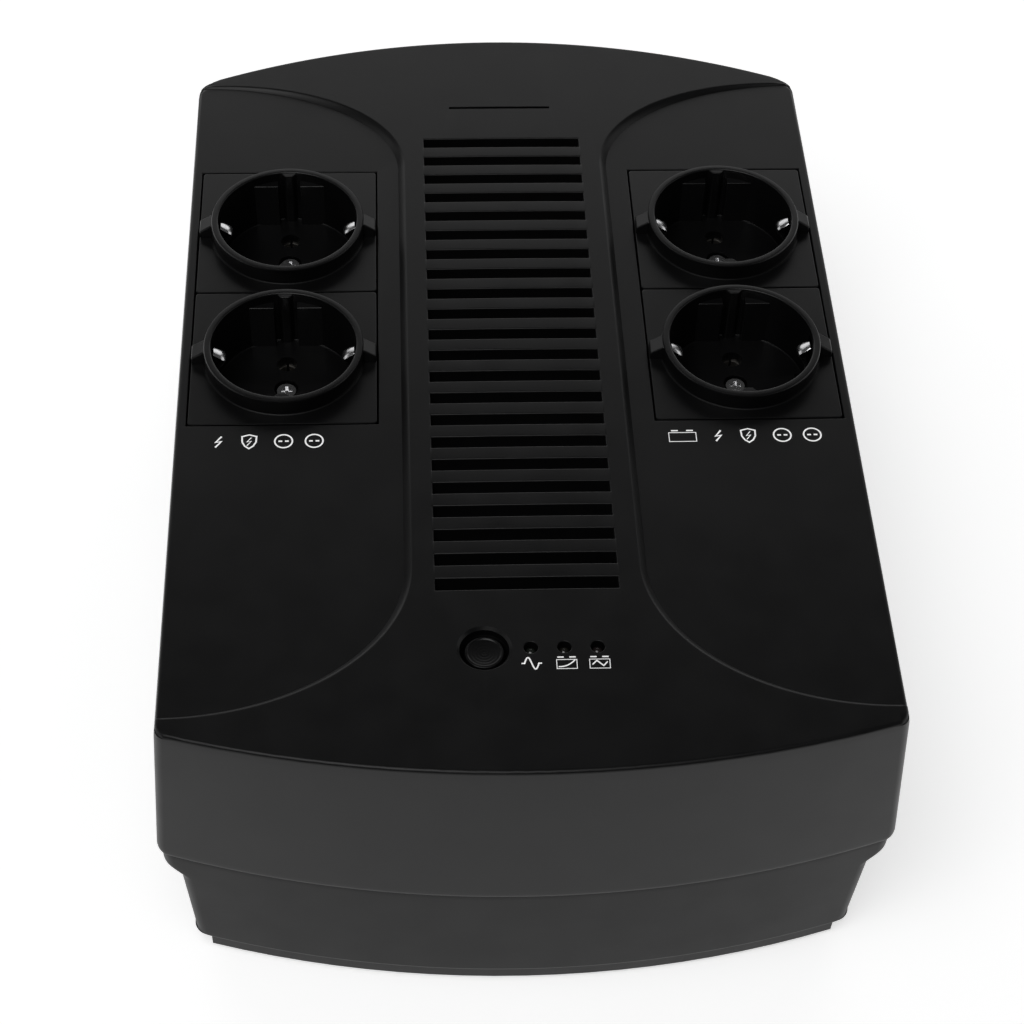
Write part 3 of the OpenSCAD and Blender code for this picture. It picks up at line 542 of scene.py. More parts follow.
def plan_triangles(outer, holes, rings=(), lines=()):
    """Triangles of the plan inside outer and outside the holes, with edges along rings and lines."""
    points, edges = [], []
    for path, closed in [(outer, True), *[(h, True) for h in holes], *[(r, True) for r in rings],
                         *[(line, False) for line in lines]]:
        start = len(points)
        points += [Vector(p) for p in path]
        edges += [(start + i, start + i + 1) for i in range(len(path) - 1)]
        if closed:
            edges.append((len(points) - 1, start))
    found, _, faces, *_ = geometry.delaunay_2d_cdt(points, edges, [], 0, 1e-4)
    boxes = [(min(p[0] for p in h), max(p[0] for p in h), min(p[1] for p in h),
              max(p[1] for p in h), h) for h in holes]
    kept = []
    for face in faces:
        x = sum(found[i].x for i in face) / 3
        y = sum(found[i].y for i in face) / 3
        if not is_inside(outer, x, y):
            continue
        if any(x0 < x < x1 and y0 < y < y1 and is_inside(h, x, y) for x0, x1, y0, y1, h in boxes):
            continue
        kept.append(tuple(face))
    return [(p.x, p.y) for p in found], kept


def border_loops(faces):
    """Closed chains of the edges that belong to one face only."""
    count = {}
    for face in faces:
        for a, b in zip(face, face[1:] + face[:1]):
            key = (min(a, b), max(a, b))
            count[key] = None if key in count else (a, b)
    following = {ends[0]: ends[1] for ends in count.values() if ends}
    loops = []
    while following:
        start, here = following.popitem()
        loop = [start]
        while here != start:
            loop.append(here)
            here = following.pop(here)
        loops.append(loop)
    return loops


# -------------------- top surface of the upper case
def round_over(distance, radius):
    """How far a rounded edge lies below its flat at a distance from the wall."""
    if distance >= radius:
        return 0.0
    inner = radius - max(distance, 0.0)
    return radius - math.sqrt(max(radius * radius - inner * inner, 0.0))


def ease(t):
    """Smooth step with level ends."""
    t = min(1.0, max(0.0, t))
    return t * t * t * (t * (6 * t - 15) + 10)


def sweep_points(offset, n=40):
    """Edge of the right-hand sunk panel, moved outwards over the spine by offset."""
    front, rear = SWEEPS[-1], SWEEPS[1]
    points = []
    for centre, reach, start, end in ((front[0], front[1], 270, 180), (rear[0], rear[1], 180, 90)):
        for i in range(n + 1):
            a = math.radians(start + (end - start) * i / n)
            x, y = SWEEP_W * math.cos(a), reach * math.sin(a)
            nx, ny = x / (SWEEP_W * SWEEP_W), y / (reach * reach)
            size = math.hypot(nx, ny)
            points.append((TOP_HALF + x + offset * nx / size, centre + y + offset * ny / size))
    tail = 6.0
    return [(points[0][0] + tail, points[0][1]), *points, (points[-1][0] + tail, points[-1][1])]


PANEL_EDGE = sweep_points(0.0, 160)


def panel_distance(x, y):
    """Distance from the edge of the sunk panel, positive inside the panel."""
    x = abs(x)
    low, high = SWEEPS[-1][0], SWEEPS[1][0]
    if low <= y <= high:
        return x - SPINE_HALF
    best = min((px - x) ** 2 + (py - y) ** 2 for px, py in PANEL_EDGE)
    centre, reach = SWEEPS[1] if y > high else SWEEPS[-1]
    dx = min(x - TOP_HALF, 0.0)
    inside = (dx / SWEEP_W) ** 2 + ((y - centre) / reach) ** 2 < 1
    return math.sqrt(best) if inside else -math.sqrt(best)


TOP_EDGE_R, SLOT_EDGE_R, SEAT_EDGE_R, HOLE_EDGE_R = 1.0, 0.45, 0.35, 0.7
LINE_EDGE_R, LAMP_EDGE_R = 0.15, 0.25
SEAT_PLAY = 0.7
SEAT_W = plate_side + SEAT_PLAY
SEAT_H = socket_y[1] - socket_y[0] + plate_side + SEAT_PLAY
LINE_Y, LINE_LEN, LINE_W, LINE_DEPTH = 104.7, 30.0, 0.9, 0.7
slot_ys = [GRILLE_Y + (i - (SLOTS - 1) / 2) * SLOT_PITCH for i in range(SLOTS)]


def rect_gap(x, y, cx, cy, w, h):
    """Distance outside a rectangle, zero inside."""
    return math.hypot(max(abs(x - cx) - w / 2, 0.0), max(abs(y - cy) - h / 2, 0.0))


def base_height(x, y):
    """Height of the crowned spine or of the sunk panel, with the bevel between them."""
    crown = CASE_TOP - x * x / (2 * CROWN_R)
    width = BEVEL * min(1.0, (crown - PANEL_Z) / BEVEL_STEP)
    share = min(1.0, max(0.0, (panel_distance(x, y) + width) / width))
    return crown + (PANEL_Z - crown) * share ** BEVEL_CURVE


def end_gap(x, y):
    """Distance inside the top outline."""
    side = TOP_HALF - abs(x)
    front = FRONT_R - math.hypot(x, y - FRONT_AXIS)
    rear = REAR_R - math.hypot(x, y - REAR_AXIS)
    gaps = sorted((side, front if y < 0 else rear))
    corner = FRONT_CORNER if y < 0 else REAR_CORNER
    if gaps[1] < corner:
        return corner - math.hypot(corner - gaps[0], corner - gaps[1])
    return gaps[0]


def top_height(x, y):
    z = base_height(x, y)
    drop = round_over(end_gap(x, y), TOP_EDGE_R)
    if abs(x) < SLOT_LEN / 2 + 1:
        near = min(slot_ys, key=lambda sy: abs(sy - y))
        drop += round_over(rect_gap(x, y, 0, near, SLOT_LEN, SLOT_W), SLOT_EDGE_R)
        drop += round_over(rect_gap(x, y, 0, LINE_Y, LINE_LEN, LINE_W), LINE_EDGE_R)
    drop += round_over(rect_gap(abs(x), y, socket_x, socket_mid_y, SEAT_W, SEAT_H), SEAT_EDGE_R)
    from_well = max(math.hypot(x - button_x, y - button_y) - WELL_HALF_R, 0.0)
    drop += max(0.0, HOLE_EDGE_R - from_well)
    for lx in lamp_xs:
        drop += round_over(math.hypot(x - lx, y - lamp_y) - LAMP_R, LAMP_EDGE_R)
    return z - drop


def grown(loop_maker, radius):
    """Rings that follow a hole's edge over its rounding."""
    return [loop_maker(radius * share) for share in (0.15, 0.45, 1.0)]


def slot_loop(y, w, h):
    return lambda grow: rounded_rect(0, y, w + 2 * grow, h + 2 * grow, 0.02 + grow, 3)


def seat_loop(side):
    return lambda grow: rounded_rect(side * socket_x, socket_mid_y, SEAT_W + 2 * grow,
                                     SEAT_H + 2 * grow, 0.02 + grow, 3)


def hole_loop(x, y, r, n):
    return lambda grow: circle(x, y, r + grow, n)


def make_cover():
    """Upper case: the top surface with its holes, the leaning walls and the ceiling inside."""
    makers = [(slot_loop(y, SLOT_LEN, SLOT_W), SLOT_EDGE_R) for y in slot_ys]
    makers += [(seat_loop(side), SEAT_EDGE_R) for side in (-1, 1)]
    makers += [(hole_loop(button_x, button_y, WELL_HALF_R, 72), HOLE_EDGE_R)]
    makers += [(hole_loop(lx, lamp_y, LAMP_R, 32), LAMP_EDGE_R) for lx in lamp_xs]
    line_maker = (slot_loop(LINE_Y, LINE_LEN, LINE_W), LINE_EDGE_R)
    holes = [maker(0.0) for maker, _ in makers + [line_maker]]
    rings = [ring for maker, radius in makers + [line_maker] for ring in grown(maker, radius)]
    outline = upper_outline(CASE_TOP)
    rings += [upper_outline(CASE_TOP, TOP_EDGE_R * share) for share in (0.06, 0.2, 0.42, 0.7, 1.0)]
    lines = []
    for side in (1, -1):
        for k in range(9):
            curve = sweep_points(BEVEL * (1 - k / 8))
            lines.append([(side * x, y) for x, y in curve])
    room = TOP_EDGE_R + 0.4
    for x in [s * v for v in range(0, 86, 6) for s in (1, -1) if v or s > 0]:
        front = FRONT_AXIS - math.sqrt((FRONT_R - room) ** 2 - x * x)
        rear = REAR_AXIS + math.sqrt((REAR_R - room) ** 2 - x * x)
        if abs(x) < SPINE_HALF - BEVEL:
            lines.append([(x, front), (x, rear)])
            continue
        from_side = TOP_HALF - abs(x)
        reach = math.sqrt(1 - (from_side / SWEEP_W) ** 2) if from_side < SWEEP_W else 0
        for end, stop in ((-1, front), (1, rear)):
            centre, size = SWEEPS[end]
            start = centre + end * (size * reach + BEVEL + 0.6)
            if (stop - start) * end > 1:
                lines.append([(x, start), (x, stop)])
    points, faces = plan_triangles(outline, holes, rings, lines)

    solid = Solid()
    top = solid.add((x, y, top_height(x, y)) for x, y in points)
    solid.faces += faces
    ceiling_z = PANEL_Z - WALL - 0.4
    ceiling_holes = []
    for loop in border_loops(faces):
        ring = [points[i] for i in loop]
        if len(ring) > 150:
            outer_loop = loop
            continue
        cx = sum(p[0] for p in ring) / len(ring)
        cy = sum(p[1] for p in ring) / len(ring)
        engraved = abs(cx) < 1 and abs(cy - LINE_Y) < 1
        bottom = CASE_TOP - LINE_DEPTH if engraved else ceiling_z
        low = solid.add(raised(ring, bottom))
        solid.bridge([top[i] for i in loop], low)
        if engraved:
            solid.faces.append(tuple(low))
        else:
            ceiling_holes.append(ring)
    seats = [seat_on(outline, points[i]) for i in outer_loop]
    upper = [top[i] for i in outer_loop]
    seam = SEAM_Z + HALF_GAP
    foot = ((seam + 0.5, 0.06), (seam + 0.2, 0.18), (seam, 0.45), (seam, WALL))
    for z, inset in (*[(z, 0.0) for z in (92.0, 78.0, 62.0, 50.0, 48.0, 46.8)], *foot):
        lower = solid.add(raised(along(upper_outline(z, inset), seats), z))
        solid.bridge(upper, lower)
        upper = lower
    inner = along(upper_outline(ceiling_z, WALL), seats)
    lower = solid.add(raised(inner, ceiling_z))
    solid.bridge(upper, lower)
    under, under_faces = plan_triangles(inner, ceiling_holes)
    base = len(solid.points)
    solid.add(raised(under, ceiling_z))
    solid.faces += [tuple(base + i for i in face) for face in under_faces]
    return solid.to_object("upper_case", case_black)


def bay_liner(name, low, high, material, floor, ceiling):
    """Walls of the connector bay between two heights, reaching out to just inside the bowed end."""
    def reach(x, z):
        fall = (CASE_TOP - z) / (CASE_TOP - SEAM_Z)
        r = REAR_R + REAR_LEAN * min(fall, 1.0) - LINER_INSET
        return REAR_AXIS + math.sqrt(r * r - x * x)
    solid = Solid()
    inner, thick = BAY_HALF, LINER_WALL
    back = panel_low[1] - LINER_DEEP
    for side in (-1, 1):
        a, b = side * inner, side * (inner + thick)
        plan = [(a, back), (b, back), (b, reach(b, high)), (a, reach(a, high))]
        solid.prism(plan if side > 0 else plan[::-1], low - (thick if floor else 0),
                    high + (thick if ceiling else 0))
    bow = [(inner * (1 - 2 * i / 24), reach(inner * (1 - 2 * i / 24), high)) for i in range(25)]
    plan = [(-inner, back), (inner, back), *bow]
    if floor:
        solid.prism(plan, low - thick, low)
    if ceiling:
        solid.prism(plan, high, high + thick)
    return solid.to_object(name, material)


def box_piece(name, low, high):
    solid = Solid()
    solid.prism([(low[0], low[1]), (high[0], low[1]), (high[0], high[1]), (low[0], high[1])],
                low[2], high[2])
    return solid.to_object(name, case_black)


def cut_bay(piece):
    """Opens the connector bay through the wall."""
    return combine(piece, box_piece("bay_cut", (-BAY_HALF, BAY_Y - 8, BAY_LOW),
                                    (BAY_HALF, BAY_Y + 30, BAY_HIGH)), "DIFFERENCE")


def shade(piece, sharp=35.0):
    """Marks the sharp edges again after a cut."""
    bm = bmesh.new()
    bm.from_mesh(piece.data)
    bmesh.ops.dissolve_degenerate(bm, edges=bm.edges, dist=1e-6)
    mark_sharp(bm, sharp)
    bm.to_mesh(piece.data)
    bm.free()
    return piece


cover = shade(cut_bay(make_cover()))
liner = bay_liner("upper_liner", SEAM_Z + HALF_GAP, BAY_HIGH, case_black, False, True)
cover = join("upper_case", [cover, liner])
flatten_shading(cover)
settle(cover, ["top_cover"])

# -------------------- lower case
TUB_TOP = SEAM_Z - HALF_GAP
TUB_HALF = SEAM_HALF - TUB_INSET
WAIST_HALF, HEM_HALF, HEM_R = 88.2, 86.4, 1.5
PLATE_GAP, EDGE_RISE, EDGE_SLOPE = 0.3, 1.2, 1.6
LIP_RISE, LIP_W, LIP_LOW = 2.4, 1.6, 40
FLOOR_RIM = 9.0


def tub_levels():
    """(height, half width) up the side: rounded hem, drafted wall, S-shaped shoulder, upright band."""
    hem = [(TUB_Z + HEM_R * (1 - math.cos(a)), HEM_HALF - HEM_R * (1 - math.sin(a)))
           for a in (math.radians(v) for v in range(0, 91, 15))]
    low, high = 33.6, 40.6
    wall = [(z, HEM_HALF + (WAIST_HALF - HEM_HALF) * (z - TUB_Z - HEM_R) / (low - TUB_Z - HEM_R))
            for z in (16.0, 24.0, 30.0)]
    swell = TUB_HALF - 0.2 - WAIST_HALF
    shoulder = [(low + (high - low) * i / 10, WAIST_HALF + swell * ease(i / 10)) for i in range(11)]
    return hem + wall + shoulder + [(43.0, TUB_HALF - 0.08), (TUB_TOP - 0.5, TUB_HALF)]


def make_tub():
    """Lower case: outside from the hem up, over the lip and down the inside, with its floor open."""
    solid = Solid()
    levels = []
    for rise, inset in ((PLATE_GAP, 0.75), (PLATE_GAP + 0.12, 0.5), (PLATE_GAP + 0.4, 0.22),
                        (EDGE_RISE, 0.05)):
        ring = tub_outline(TUB_Z + rise, HEM_HALF - HEM_R + EDGE_SLOPE * rise, inset)
        levels.append(raised(ring, TUB_Z + rise))
    for z, half in tub_levels():
        if z > TUB_Z + EDGE_RISE:
            levels.append(raised(tub_outline(z, half), z))
    for z, inset in ((TUB_TOP - 0.15, 0.15), (TUB_TOP, 0.5), (TUB_TOP, WALL + 0.3),
                     (TUB_TOP + LIP_RISE, WALL + 0.5), (TUB_TOP + LIP_RISE, WALL + LIP_W)):
        levels.append(raised(tub_outline(min(z, SEAM_Z), TUB_HALF, inset), z))
    inner = [(z, half) for z, half in tub_levels() if z > TUB_Z + WALL]
    for z, half in reversed(inner):
        levels.append(raised(tub_outline(z, half, WALL + LIP_W if z > LIP_LOW else WALL), z))
    last = inner[0][1]
    floor_z = TUB_Z + WALL
    low_z = TUB_Z + PLATE_GAP
    for z, inset in ((floor_z, WALL), (floor_z, FLOOR_RIM), (low_z, FLOOR_RIM)):
        levels.append(raised(tub_outline(z, last, inset), z))
    rings = solid.loft(levels)
    solid.bridge(rings[-1], rings[0])
    return solid.to_object("lower_case", tub_black)


tub = shade(cut_bay(make_tub()))
tub_liner = bay_liner("lower_liner", BAY_LOW, SEAM_Z - HALF_GAP, tub_black, True, False)
tub = join("lower_case", [tub, tub_liner])
flatten_shading(tub)
settle(tub, ["base_tub"])

# -------------------- sockets
FACE_Z = PANEL_Z
FLOOR_Z = rim_z - WELL_DEPTH
BODY_HALF, BODY_LOW = 20.0, PANEL_Z - 32.0
PIN_HALF, PIN_HOLE_R = 9.5, 2.75
GUIDE_Y, RIB_Y = 16.7, 18.1
SCREW_SEAT_R, CLIP_X, LUG_X = 3.3, 18.6, 24.9


def round_prism(name, plan, low, high, width):
    """A capped plan outline with its edges rounded."""
    solid = Solid()
    solid.prism(plan, low, high)
    return bevel(solid.to_object(name, socket_black), width)


def socket_body():
    """Plate, collar and well of one socket round the origin, as one closed mesh."""
    plate = Solid()
    half = plate_side / 2
    levels = [(FACE_Z - 2.5, 0.0), (FACE_Z - 0.35, 0.0), (FACE_Z - 0.1, 0.1), (FACE_Z, 0.35)]
    rings = plate.loft(raised(rounded_rect(0, 0, 2 * (half - inset), 2 * (half - inset), 0.8, 4), z)
                       for z, inset in levels)
    plate.faces.append(tuple(reversed(rings[0])))
    plate.faces.append(tuple(rings[-1]))
    r, w, top = COLLAR_R, WELL_R, rim_z
    hole = Solid()
    hole.prism(circle(0, 0, (r + w) / 2, 144), FACE_Z - 4, FACE_Z + 1)
    body = combine(plate.to_object("socket_plate", socket_black),
                   hole.to_object("hole", socket_black), "DIFFERENCE")
    cup = Solid()
    cup.turned([(0, BODY_LOW + 12), (r, BODY_LOW + 12), (r, FACE_Z - 1), (r + 0.5, FACE_Z - 0.05),
                (r + 0.5, FACE_Z + 0.02), (r + 0.16, FACE_Z + 0.14), (r, FACE_Z + 0.5), (r, top - 0.6),
                (r - 0.06, top - 0.3), (r - 0.25, top - 0.08), (r - 0.6, top), (w + 0.5, top),
                (w + 0.2, top - 0.08), (w + 0.05, top - 0.25), (w, top - 0.5), (w - 0.1, FLOOR_Z + 0.8),
                (w - 0.3, FLOOR_Z + 0.25), (w - 0.8, FLOOR_Z), (0, FLOOR_Z)], (0, 0), 128)
    body = combine(body, cup.to_object("cup", socket_black), "UNION")
    body = combine(body, box_piece("lower", (-BODY_HALF, -BODY_HALF, BODY_LOW),
                                   (BODY_HALF, BODY_HALF, FLOOR_Z - 3)), "UNION")
    cuts = Solid()
    for s in (-1, 1):
        cuts.prism(circle(0, s * PIN_HALF, PIN_HOLE_R, 36), BODY_LOW - 2, rim_z)
    cuts.prism(circle(0, 0, SCREW_SEAT_R, 48), FLOOR_Z - 2.0, FLOOR_Z + 5)
    body = combine(body, cuts.to_object("holes", socket_black), "DIFFERENCE")
    for s in (-1, 1):
        body = combine(body, box_piece("slot", (s * CLIP_X - 1.8, -3.4, FLOOR_Z - 8),
                                       (s * CLIP_X + 1.8, 3.4, FACE_Z + 3)), "DIFFERENCE")
    body.data.materials.clear()
    body.data.materials.append(socket_black)
    return shade(body)


def socket_details():
    """Guides, wedge ribs and sloping lugs of one socket."""
    parts = []
    outer = WELL_R + 0.4
    for s in (-1, 1):
        for side in (-1, 1):
            plan = [(3.1, GUIDE_Y), (10.2, GUIDE_Y),
                    *[(x, math.sqrt(outer ** 2 - x ** 2)) for x in (10.2, 6.6, 3.1)]]
            plan = [(side * x, s * y) for x, y in plan]
            parts.append(round_prism("guide", plan if s * side > 0 else plan[::-1], FLOOR_Z - 0.1,
                                     rim_z - 3.0, 0.35))
        rib = [(-2.6, outer), (-1.1, RIB_Y), (1.1, RIB_Y), (2.6, outer)]
        rib = [(x, s * y) for x, y in rib]
        parts.append(round_prism("rib", rib, FLOOR_Z - 0.1, rim_z - 0.25, 0.3))
    for s in (-1, 1):
        lug = Solid()
        plan = [(COLLAR_R - 0.6, FACE_Z - 0.2), (LUG_X, FACE_Z - 0.2), (LUG_X, FACE_Z + 2.2),
                (COLLAR_R + 0.2, rim_z - 0.7), (COLLAR_R - 0.6, rim_z - 0.7)]
        near, far = lug.loft([[(s * x, -2.5, z) for x, z in plan], [(s * x, 2.5, z) for x, z in plan]])
        lug.faces += [tuple(near), tuple(reversed(far))]
        parts.append(bevel(lug.to_object("lug", socket_black), 0.35))
    return parts


def contact_spring(side):
    """Bent steel strip of the earth contact, with a narrow rounded nose that leans into the well."""
    path = [(18.9, -26.0, 3.0), (18.9, -8.0, 3.0), (18.6, -5.0, 2.8), (17.4, -2.6, 2.2), (16.1, -0.9, 1.9),
            (15.7, -0.1, 1.8), (16.0, 0.6, 1.8), (17.0, 1.4, 1.8), (18.1, 2.1, 1.7), (18.9, 2.5, 1.4)]
    solid = Solid()
    rings = []
    for i, (x, z, half) in enumerate(path):
        x0, z0, _ = path[max(i - 1, 0)]
        x1, z1, _ = path[min(i + 1, len(path) - 1)]
        tx, tz = unit2(x1 - x0, z1 - z0)
        section = []
        for y, depth in ((-half, 0.25), (-half * 0.8, 0.05), (-half * 0.4, -0.04), (0, -0.07),
                         (half * 0.4, -0.04), (half * 0.8, 0.05), (half, 0.25), (half, 0.5), (-half, 0.5)):
            section.append((side * (x + tz * depth), y, FACE_Z + z - tx * depth))
        rings.append(solid.add(section))
    for a, b in zip(rings, rings[1:]):
        solid.bridge(a, b)
    solid.faces += [tuple(rings[0]), tuple(reversed(rings[-1]))]
    return solid.to_object("spring", steel, 50)


def copy_to(model, name, at):
    """A copy of a piece that was built round the origin, moved in plan."""
    piece = new_object(name, model.data.copy())
    piece.data.transform(Matrix.Translation(Vector((*at, 0)) * MM))
    return piece


socket_model = join("socket_model", [socket_body(), *socket_details()])
spring_model = join("spring_model", [contact_spring(-1), contact_spring(1)])
flatten_shading(socket_model)
for name in SOCKETS:
    place = name[len("socket"):]
    piece = copy_to(socket_model, "outlet" + place, socket_at[name])
    flatten_shading(piece)
    settle(piece, [name])
    settle(copy_to(spring_model, "earth_spring" + place, socket_at[name]), ["earth_clip" + place])
bpy.data.objects.remove(socket_model)
bpy.data.objects.remove(spring_model)

# -------------------- power button
cap_low, cap_high = box_mm("power_button")
ring_low, ring_high = box_mm("button_ring")
CAP_R, CAP_PLAY, SLEEVE_R = 4.9, 0.15, 5.9
STEM_R, FLANGE_R, FLANGE_LOW, FLANGE_TOP = 1.7, 5.6, 88.9, 90.4
ring = Solid()
ring_r = (ring_high[0] - ring_low[0]) / 2
ring_top = ring_high[2]
ring.lathe([(CAP_R + CAP_PLAY, ring_low[2]), (SLEEVE_R, ring_low[2]), (SLEEVE_R, ring_top - 1.15),
            (ring_r, ring_top - 1.15), (ring_r, ring_top - 0.1), (ring_r - 0.1, ring_top),
            (ring_r - 0.2, ring_top - 0.05), (5.75, ring_top - 1.0), (5.6, ring_top - 1.6),
            (CAP_R + CAP_PLAY, ring_top - 2.3)], (button_x, button_y), 96)
settle(flatten_shading(ring.to_object("button_bezel", button_black)), ["button_ring"])


def cap_profile():
    """Cap from its foot up over the rounded rim and across the dished, ridged top."""
    low, top = cap_low[2], cap_high[2]
    profile = [(0, low), (STEM_R, low), (STEM_R, FLANGE_LOW), (FLANGE_R, FLANGE_LOW),
               (FLANGE_R, FLANGE_TOP), (CAP_R, FLANGE_TOP),
               (CAP_R, top - 0.55), (CAP_R - 0.05, top - 0.3), (CAP_R - 0.18, top - 0.1),
               (CAP_R - 0.4, top), (CAP_R - 0.65, top - 0.02)]
    for i in range(24):
        r = (CAP_R - 0.85) * (1 - i / 24)
        dish = top - 0.42 + 0.34 * (r / CAP_R) ** 2
        profile.append((r, dish + 0.012 * math.cos(2 * math.pi * r / 0.84)))
    profile.append((0, top - 0.40))
    return profile


cap = Solid()
cap.turned(cap_profile(), (button_x, button_y), 96)
settle(cap.to_object("button_cap", button_black, 30), ["power_button"], "power_button")

# -------------------- return spring
SPRING_WIRE, SPRING_R, SPRING_TURNS, SPRING_STEPS = 0.34, 3.6, 3.5, 112


def make_spring():
    """Coil spring between the switch and the button's flange, made at one length; nothing here shortens it
    as the button goes down.
    """
    (_, _, low), (_, _, high) = box_mm("button_spring")
    low, high = low + 0.02, high - 0.02
    rise = high - low - 2 * SPRING_WIRE
    levels = []
    for i in range(SPRING_STEPS + 1):
        share = i / SPRING_STEPS
        turn = 2 * math.pi * SPRING_TURNS * share
        ring = []
        for u, v in circle(0, 0, SPRING_WIRE, 12):
            r = SPRING_R + u
            ring.append((button_x + r * math.cos(turn), button_y + r * math.sin(turn),
                         low + SPRING_WIRE + rise * share - v))
        levels.append(ring)
    solid = Solid()
    rings = solid.loft(levels)
    solid.faces += [tuple(reversed(rings[0])), tuple(rings[-1])]
    spring = settle(solid.to_object("return_spring", steel, 60), ["button_spring"])
    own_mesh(spring)


make_spring()


# -------------------- printed signs
def ribbon_strip(solid, path, width, z_of, lift=0.03, closed=False):
    """A flat printed line along a path in plan."""
    n = len(path)
    sides = ([], [])
    for i, (x, y) in enumerate(path):
        before = path[(i - 1) % n] if closed or i else path[i]
        after = path[(i + 1) % n] if closed or i < n - 1 else path[i]
        a = unit2(x - before[0], y - before[1])
        b = unit2(after[0] - x, after[1] - y)
        tx, ty = unit2(a[0] + b[0], a[1] + b[1]) if a != (0, 0) and b != (0, 0) else (
            a if b == (0, 0) else b)
        share = max(0.6, abs(tx * (a[0] or b[0] or tx) + ty * (a[1] or b[1] or ty)))
        half = width / 2 / share
        end = 0.0 if closed or 0 < i < n - 1 else width / 2 * (1 if i else -1)
        for side, k in zip(sides, (1, -1)):
            px, py = x - k * ty * half + tx * end, y + k * tx * half + ty * end
            side.append((px, py))
    low = [solid.add((x, y, z_of(x, y) - 0.05) for x, y in side) for side in sides]
    high = [solid.add((x, y, z_of(x, y) + lift) for x, y in side) for side in sides]
    rings = [high[0], high[1], low[1], low[0]]
    for a, b in zip(rings, rings[1:] + rings[:1]):
        solid.bridge(a, b, closed)
    if not closed:
        for i in (0, n - 1):
            solid.faces.append(tuple(r[i] for r in rings))


def crown_height(x, y):
    return CASE_TOP - x * x / (2 * CROWN_R)


def panel_height(x, y):
    return PANEL_Z


SIGN_Y = -104.6
SIGN_W = 0.36
WAVE_HALF = 1.75


def battery_sign(solid, cx, cy, sizes, width, z_of):
    """Outline of a battery with its two poles."""
    half, top, bottom, pole_x, pole_y, pole_half = sizes
    body = [(cx + x, cy + y) for x, y in ((-half, top), (-half, bottom), (half, bottom), (half, top))]
    ribbon_strip(solid, body, width, z_of, closed=True)
    for s in (-1, 1):
        pole = [(cx + s * pole_x + end * pole_half, cy + pole_y) for end in (-1, 1)]
        ribbon_strip(solid, pole, width, z_of)


LAMP_BATTERY = (2.45, 1.0, -1.75, 1.45, 1.75, 0.6)
LABEL_BATTERY = (3.6, 1.3, -1.9, 2.0, 2.0, 0.7)
signs = Solid()
left, middle, right = lamp_xs
wave = [(left + WAVE_HALF * (i / 12 - 1), SIGN_Y + WAVE_HALF * math.sin(2 * math.pi * i / 24))
        for i in range(25)]
ribbon_strip(signs, wave, SIGN_W, crown_height)
for s in (-1, 1):
    ribbon_strip(signs, [(left + s * WAVE_HALF, SIGN_Y), (left + s * 2.3, SIGN_Y)], SIGN_W, crown_height)
battery_sign(signs, middle + 0.35, SIGN_Y, LAMP_BATTERY, SIGN_W, crown_height)
fall = [(middle - 1.55 + 3.8 * t, SIGN_Y - 1.15 + 1.9 * t ** 2.4) for t in
        [i / 14 for i in range(15)]]
ribbon_strip(signs, fall, SIGN_W * 0.9, crown_height)
battery_sign(signs, right + 0.2, SIGN_Y, LAMP_BATTERY, SIGN_W, crown_height)
zigzag = [(right + 0.2 + x, SIGN_Y + y) for x, y in ((-1.7, -0.5), (-0.7, 0.6), (0.9, -1.0), (1.8, 0.1))]
ribbon_strip(signs, zigzag, SIGN_W * 0.9, crown_height)
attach(signs.to_object("lamp_signs", white_ink), CASE)


def bolt(solid, cx, cy, size, width):
    path = ((0.18, 0.5), (-0.22, -0.04), (0.22, 0.04), (-0.18, -0.5))
    ribbon_strip(solid, [(cx + x * size, cy + y * size) for x, y in path], width, panel_height)


def shield(solid, cx, cy):
    """Shield that stands for protection, with a bolt on it."""
    right = [(cx + x, cy + y) for x, y in ((0, 2.4), (1.9, 1.8), (1.8, -0.2), (1.1, -1.6), (0, -2.5))]
    left = [(2 * cx - x, y) for x, y in right[-2:0:-1]]
    ribbon_strip(solid, right + left, LABEL_W, panel_height, closed=True)
    bolt(solid, cx, cy, 2.6, 0.3)


def outlet_sign(solid, cx, cy):
    """Round earthed outlet seen from above."""
    ribbon_strip(solid, circle(cx, cy, 2.3, 36), LABEL_W, panel_height, closed=True)
    for s in (-1, 1):
        ribbon_strip(solid, [(cx + s * 0.85 - 0.25, cy), (cx + s * 0.85 + 0.25, cy)], 0.5, panel_height)


LABEL_Y, LABEL_W = -28.6, 0.42
labels = Solid()
for start in (-78.5, 53.0):
    bolt(labels, start, LABEL_Y, 3.4, 0.5)
    shield(labels, start + 8.0, LABEL_Y)
    for x in (start + 17.0, start + 25.0):
        outlet_sign(labels, x, LABEL_Y)
battery_sign(labels, 43.5, LABEL_Y, LABEL_BATTERY, LABEL_W, panel_height)
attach(labels.to_object("outlet_signs", white_ink), CASE)

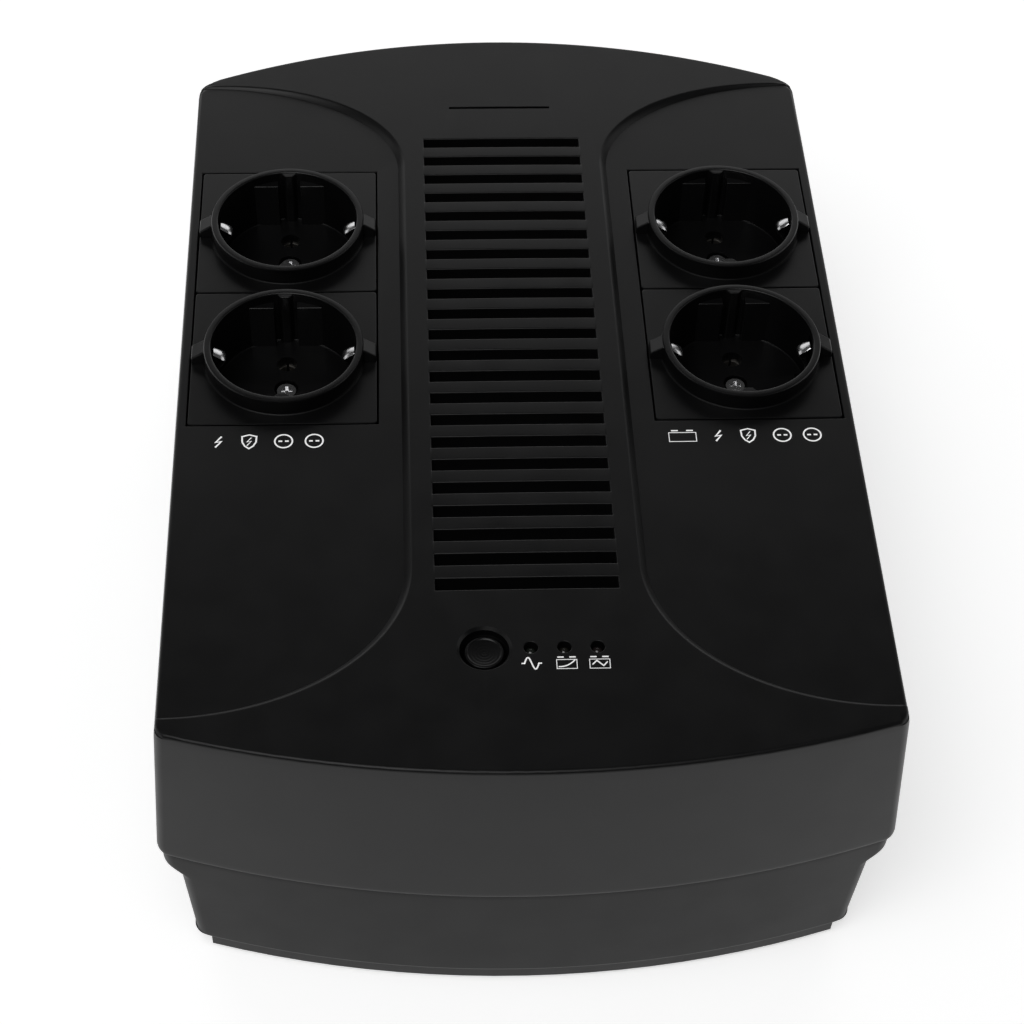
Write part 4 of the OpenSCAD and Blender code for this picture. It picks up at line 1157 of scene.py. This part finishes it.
# -------------------- CAD nodes that stay
FINISHES = {
    tub_black: ["bottom_plate"],
    rubber: ["rubber_feet"],
    zinc: ["cover_screws", "plate_screws", "battery_strap", "transformer_frame"],
    steel: ["socket_screws", "inlet_pins", "battery_terminals"],
    contact_metal: ["contacts_rear_left", "contacts_rear_right", "contacts_front_left",
                    "contacts_front_right"],
    epoxy: ["push_switch", "power_transistors", "buzzer"],
    lamp_glass("mains_lens", (0.012, 0.015, 0.012)): ["mains_lamp"],
    lamp_glass("battery_lens", (0.016, 0.015, 0.012)): ["battery_lamp"],
    lamp_glass("fault_lens", (0.016, 0.012, 0.012)): ["fault_lamp"],
    board: ["control_board", "main_board"],
    panel_black: ["rear_panel"],
    well_black: ["mains_inlet", "surge_jacks", "breaker_body"],
    button_black: ["breaker_nut", "reset_button"],
    tin: ["data_port"],
    battery_case: ["battery"],
    foam: ["battery_pad"],
    core: ["transformer_core"],
    coil: ["transformer_coil"],
    alu: ["heat_sink"],
    relay_blue: ["relays"],
    sleeve_blue: ["capacitors"],
    amber: ["blade_fuse"],
    red_lead: ["battery_leads"],
    grey_lead: ["transformer_leads", "mains_leads", "socket_leads"],
    ribbon: ["ribbon_cable"],
}
SOFT_EDGES = {"bottom_plate": 0.12, "rear_panel": 0.2, "mains_inlet": 0.35, "surge_jacks": 0.25,
              "breaker_nut": 0.25, "reset_button": 0.5, "data_port": 0.15, "inlet_pins": 0.2,
              "battery": 1.2, "relays": 0.4, "blade_fuse": 0.3, "breaker_body": 0.3}
for material, names in FINISHES.items():
    for name in names:
        node = bpy.data.objects[name]
        node.data.materials.clear()
        node.data.materials.append(material)
        if name in SOFT_EDGES:
            bevel(node, SOFT_EDGES[name])

# -------------------- floor and light
floor_material, floor_tree, floor_shader = node_material("floor_white")
paper = noise(floor_tree, 3.0)
floor_tree.links.new(ramp(floor_tree, paper, (0.86, 0.86, 0.86), (0.90, 0.90, 0.90)),
                     floor_shader.inputs["Base Color"])
floor_shader.inputs["Roughness"].default_value = 0.8
floor_shader.inputs["Emission Color"].default_value = (1, 1, 1, 1)
floor_shader.inputs["Emission Strength"].default_value = 0.57
bpy.ops.mesh.primitive_plane_add(size=12.0)
floor = bpy.context.active_object
floor.name = "floor"
floor.data.materials.append(floor_material)


def area_light(name, place, aim, size, power):
    data = bpy.data.lights.new(name, "AREA")
    data.shape = "RECTANGLE"
    data.size, data.size_y = size
    data.energy = power
    lamp = new_object(name, data)
    lamp.location = place
    lamp.rotation_mode = "QUATERNION"
    lamp.rotation_quaternion = (Vector(place) - Vector(aim)).to_track_quat("Z", "Y")


area_light("key_softbox", (-0.4, -0.7, 1.65), (0, 0, 0.1), (1.2, 1.2), 14.0)
area_light("back_softbox", (0.0, 1.4, 0.62), (0, 0.05, 0.1), (2.6, 1.1), 9.0)
area_light("left_softbox", (-1.4, 0.1, 0.5), (0, 0, 0.1), (1.6, 0.6), 2.2)
area_light("right_softbox", (1.4, 0.1, 0.5), (0, 0, 0.1), (1.6, 0.6), 2.2)

world = bpy.data.worlds.new("studio")
world.use_nodes = True
world.node_tree.nodes["Background"].inputs["Color"].default_value = (1, 1, 1, 1)
world.node_tree.nodes["Background"].inputs["Strength"].default_value = 0.05
bpy.context.scene.world = world
bpy.context.scene.view_settings.view_transform = "Standard"
bpy.context.scene.view_settings.look = "None"
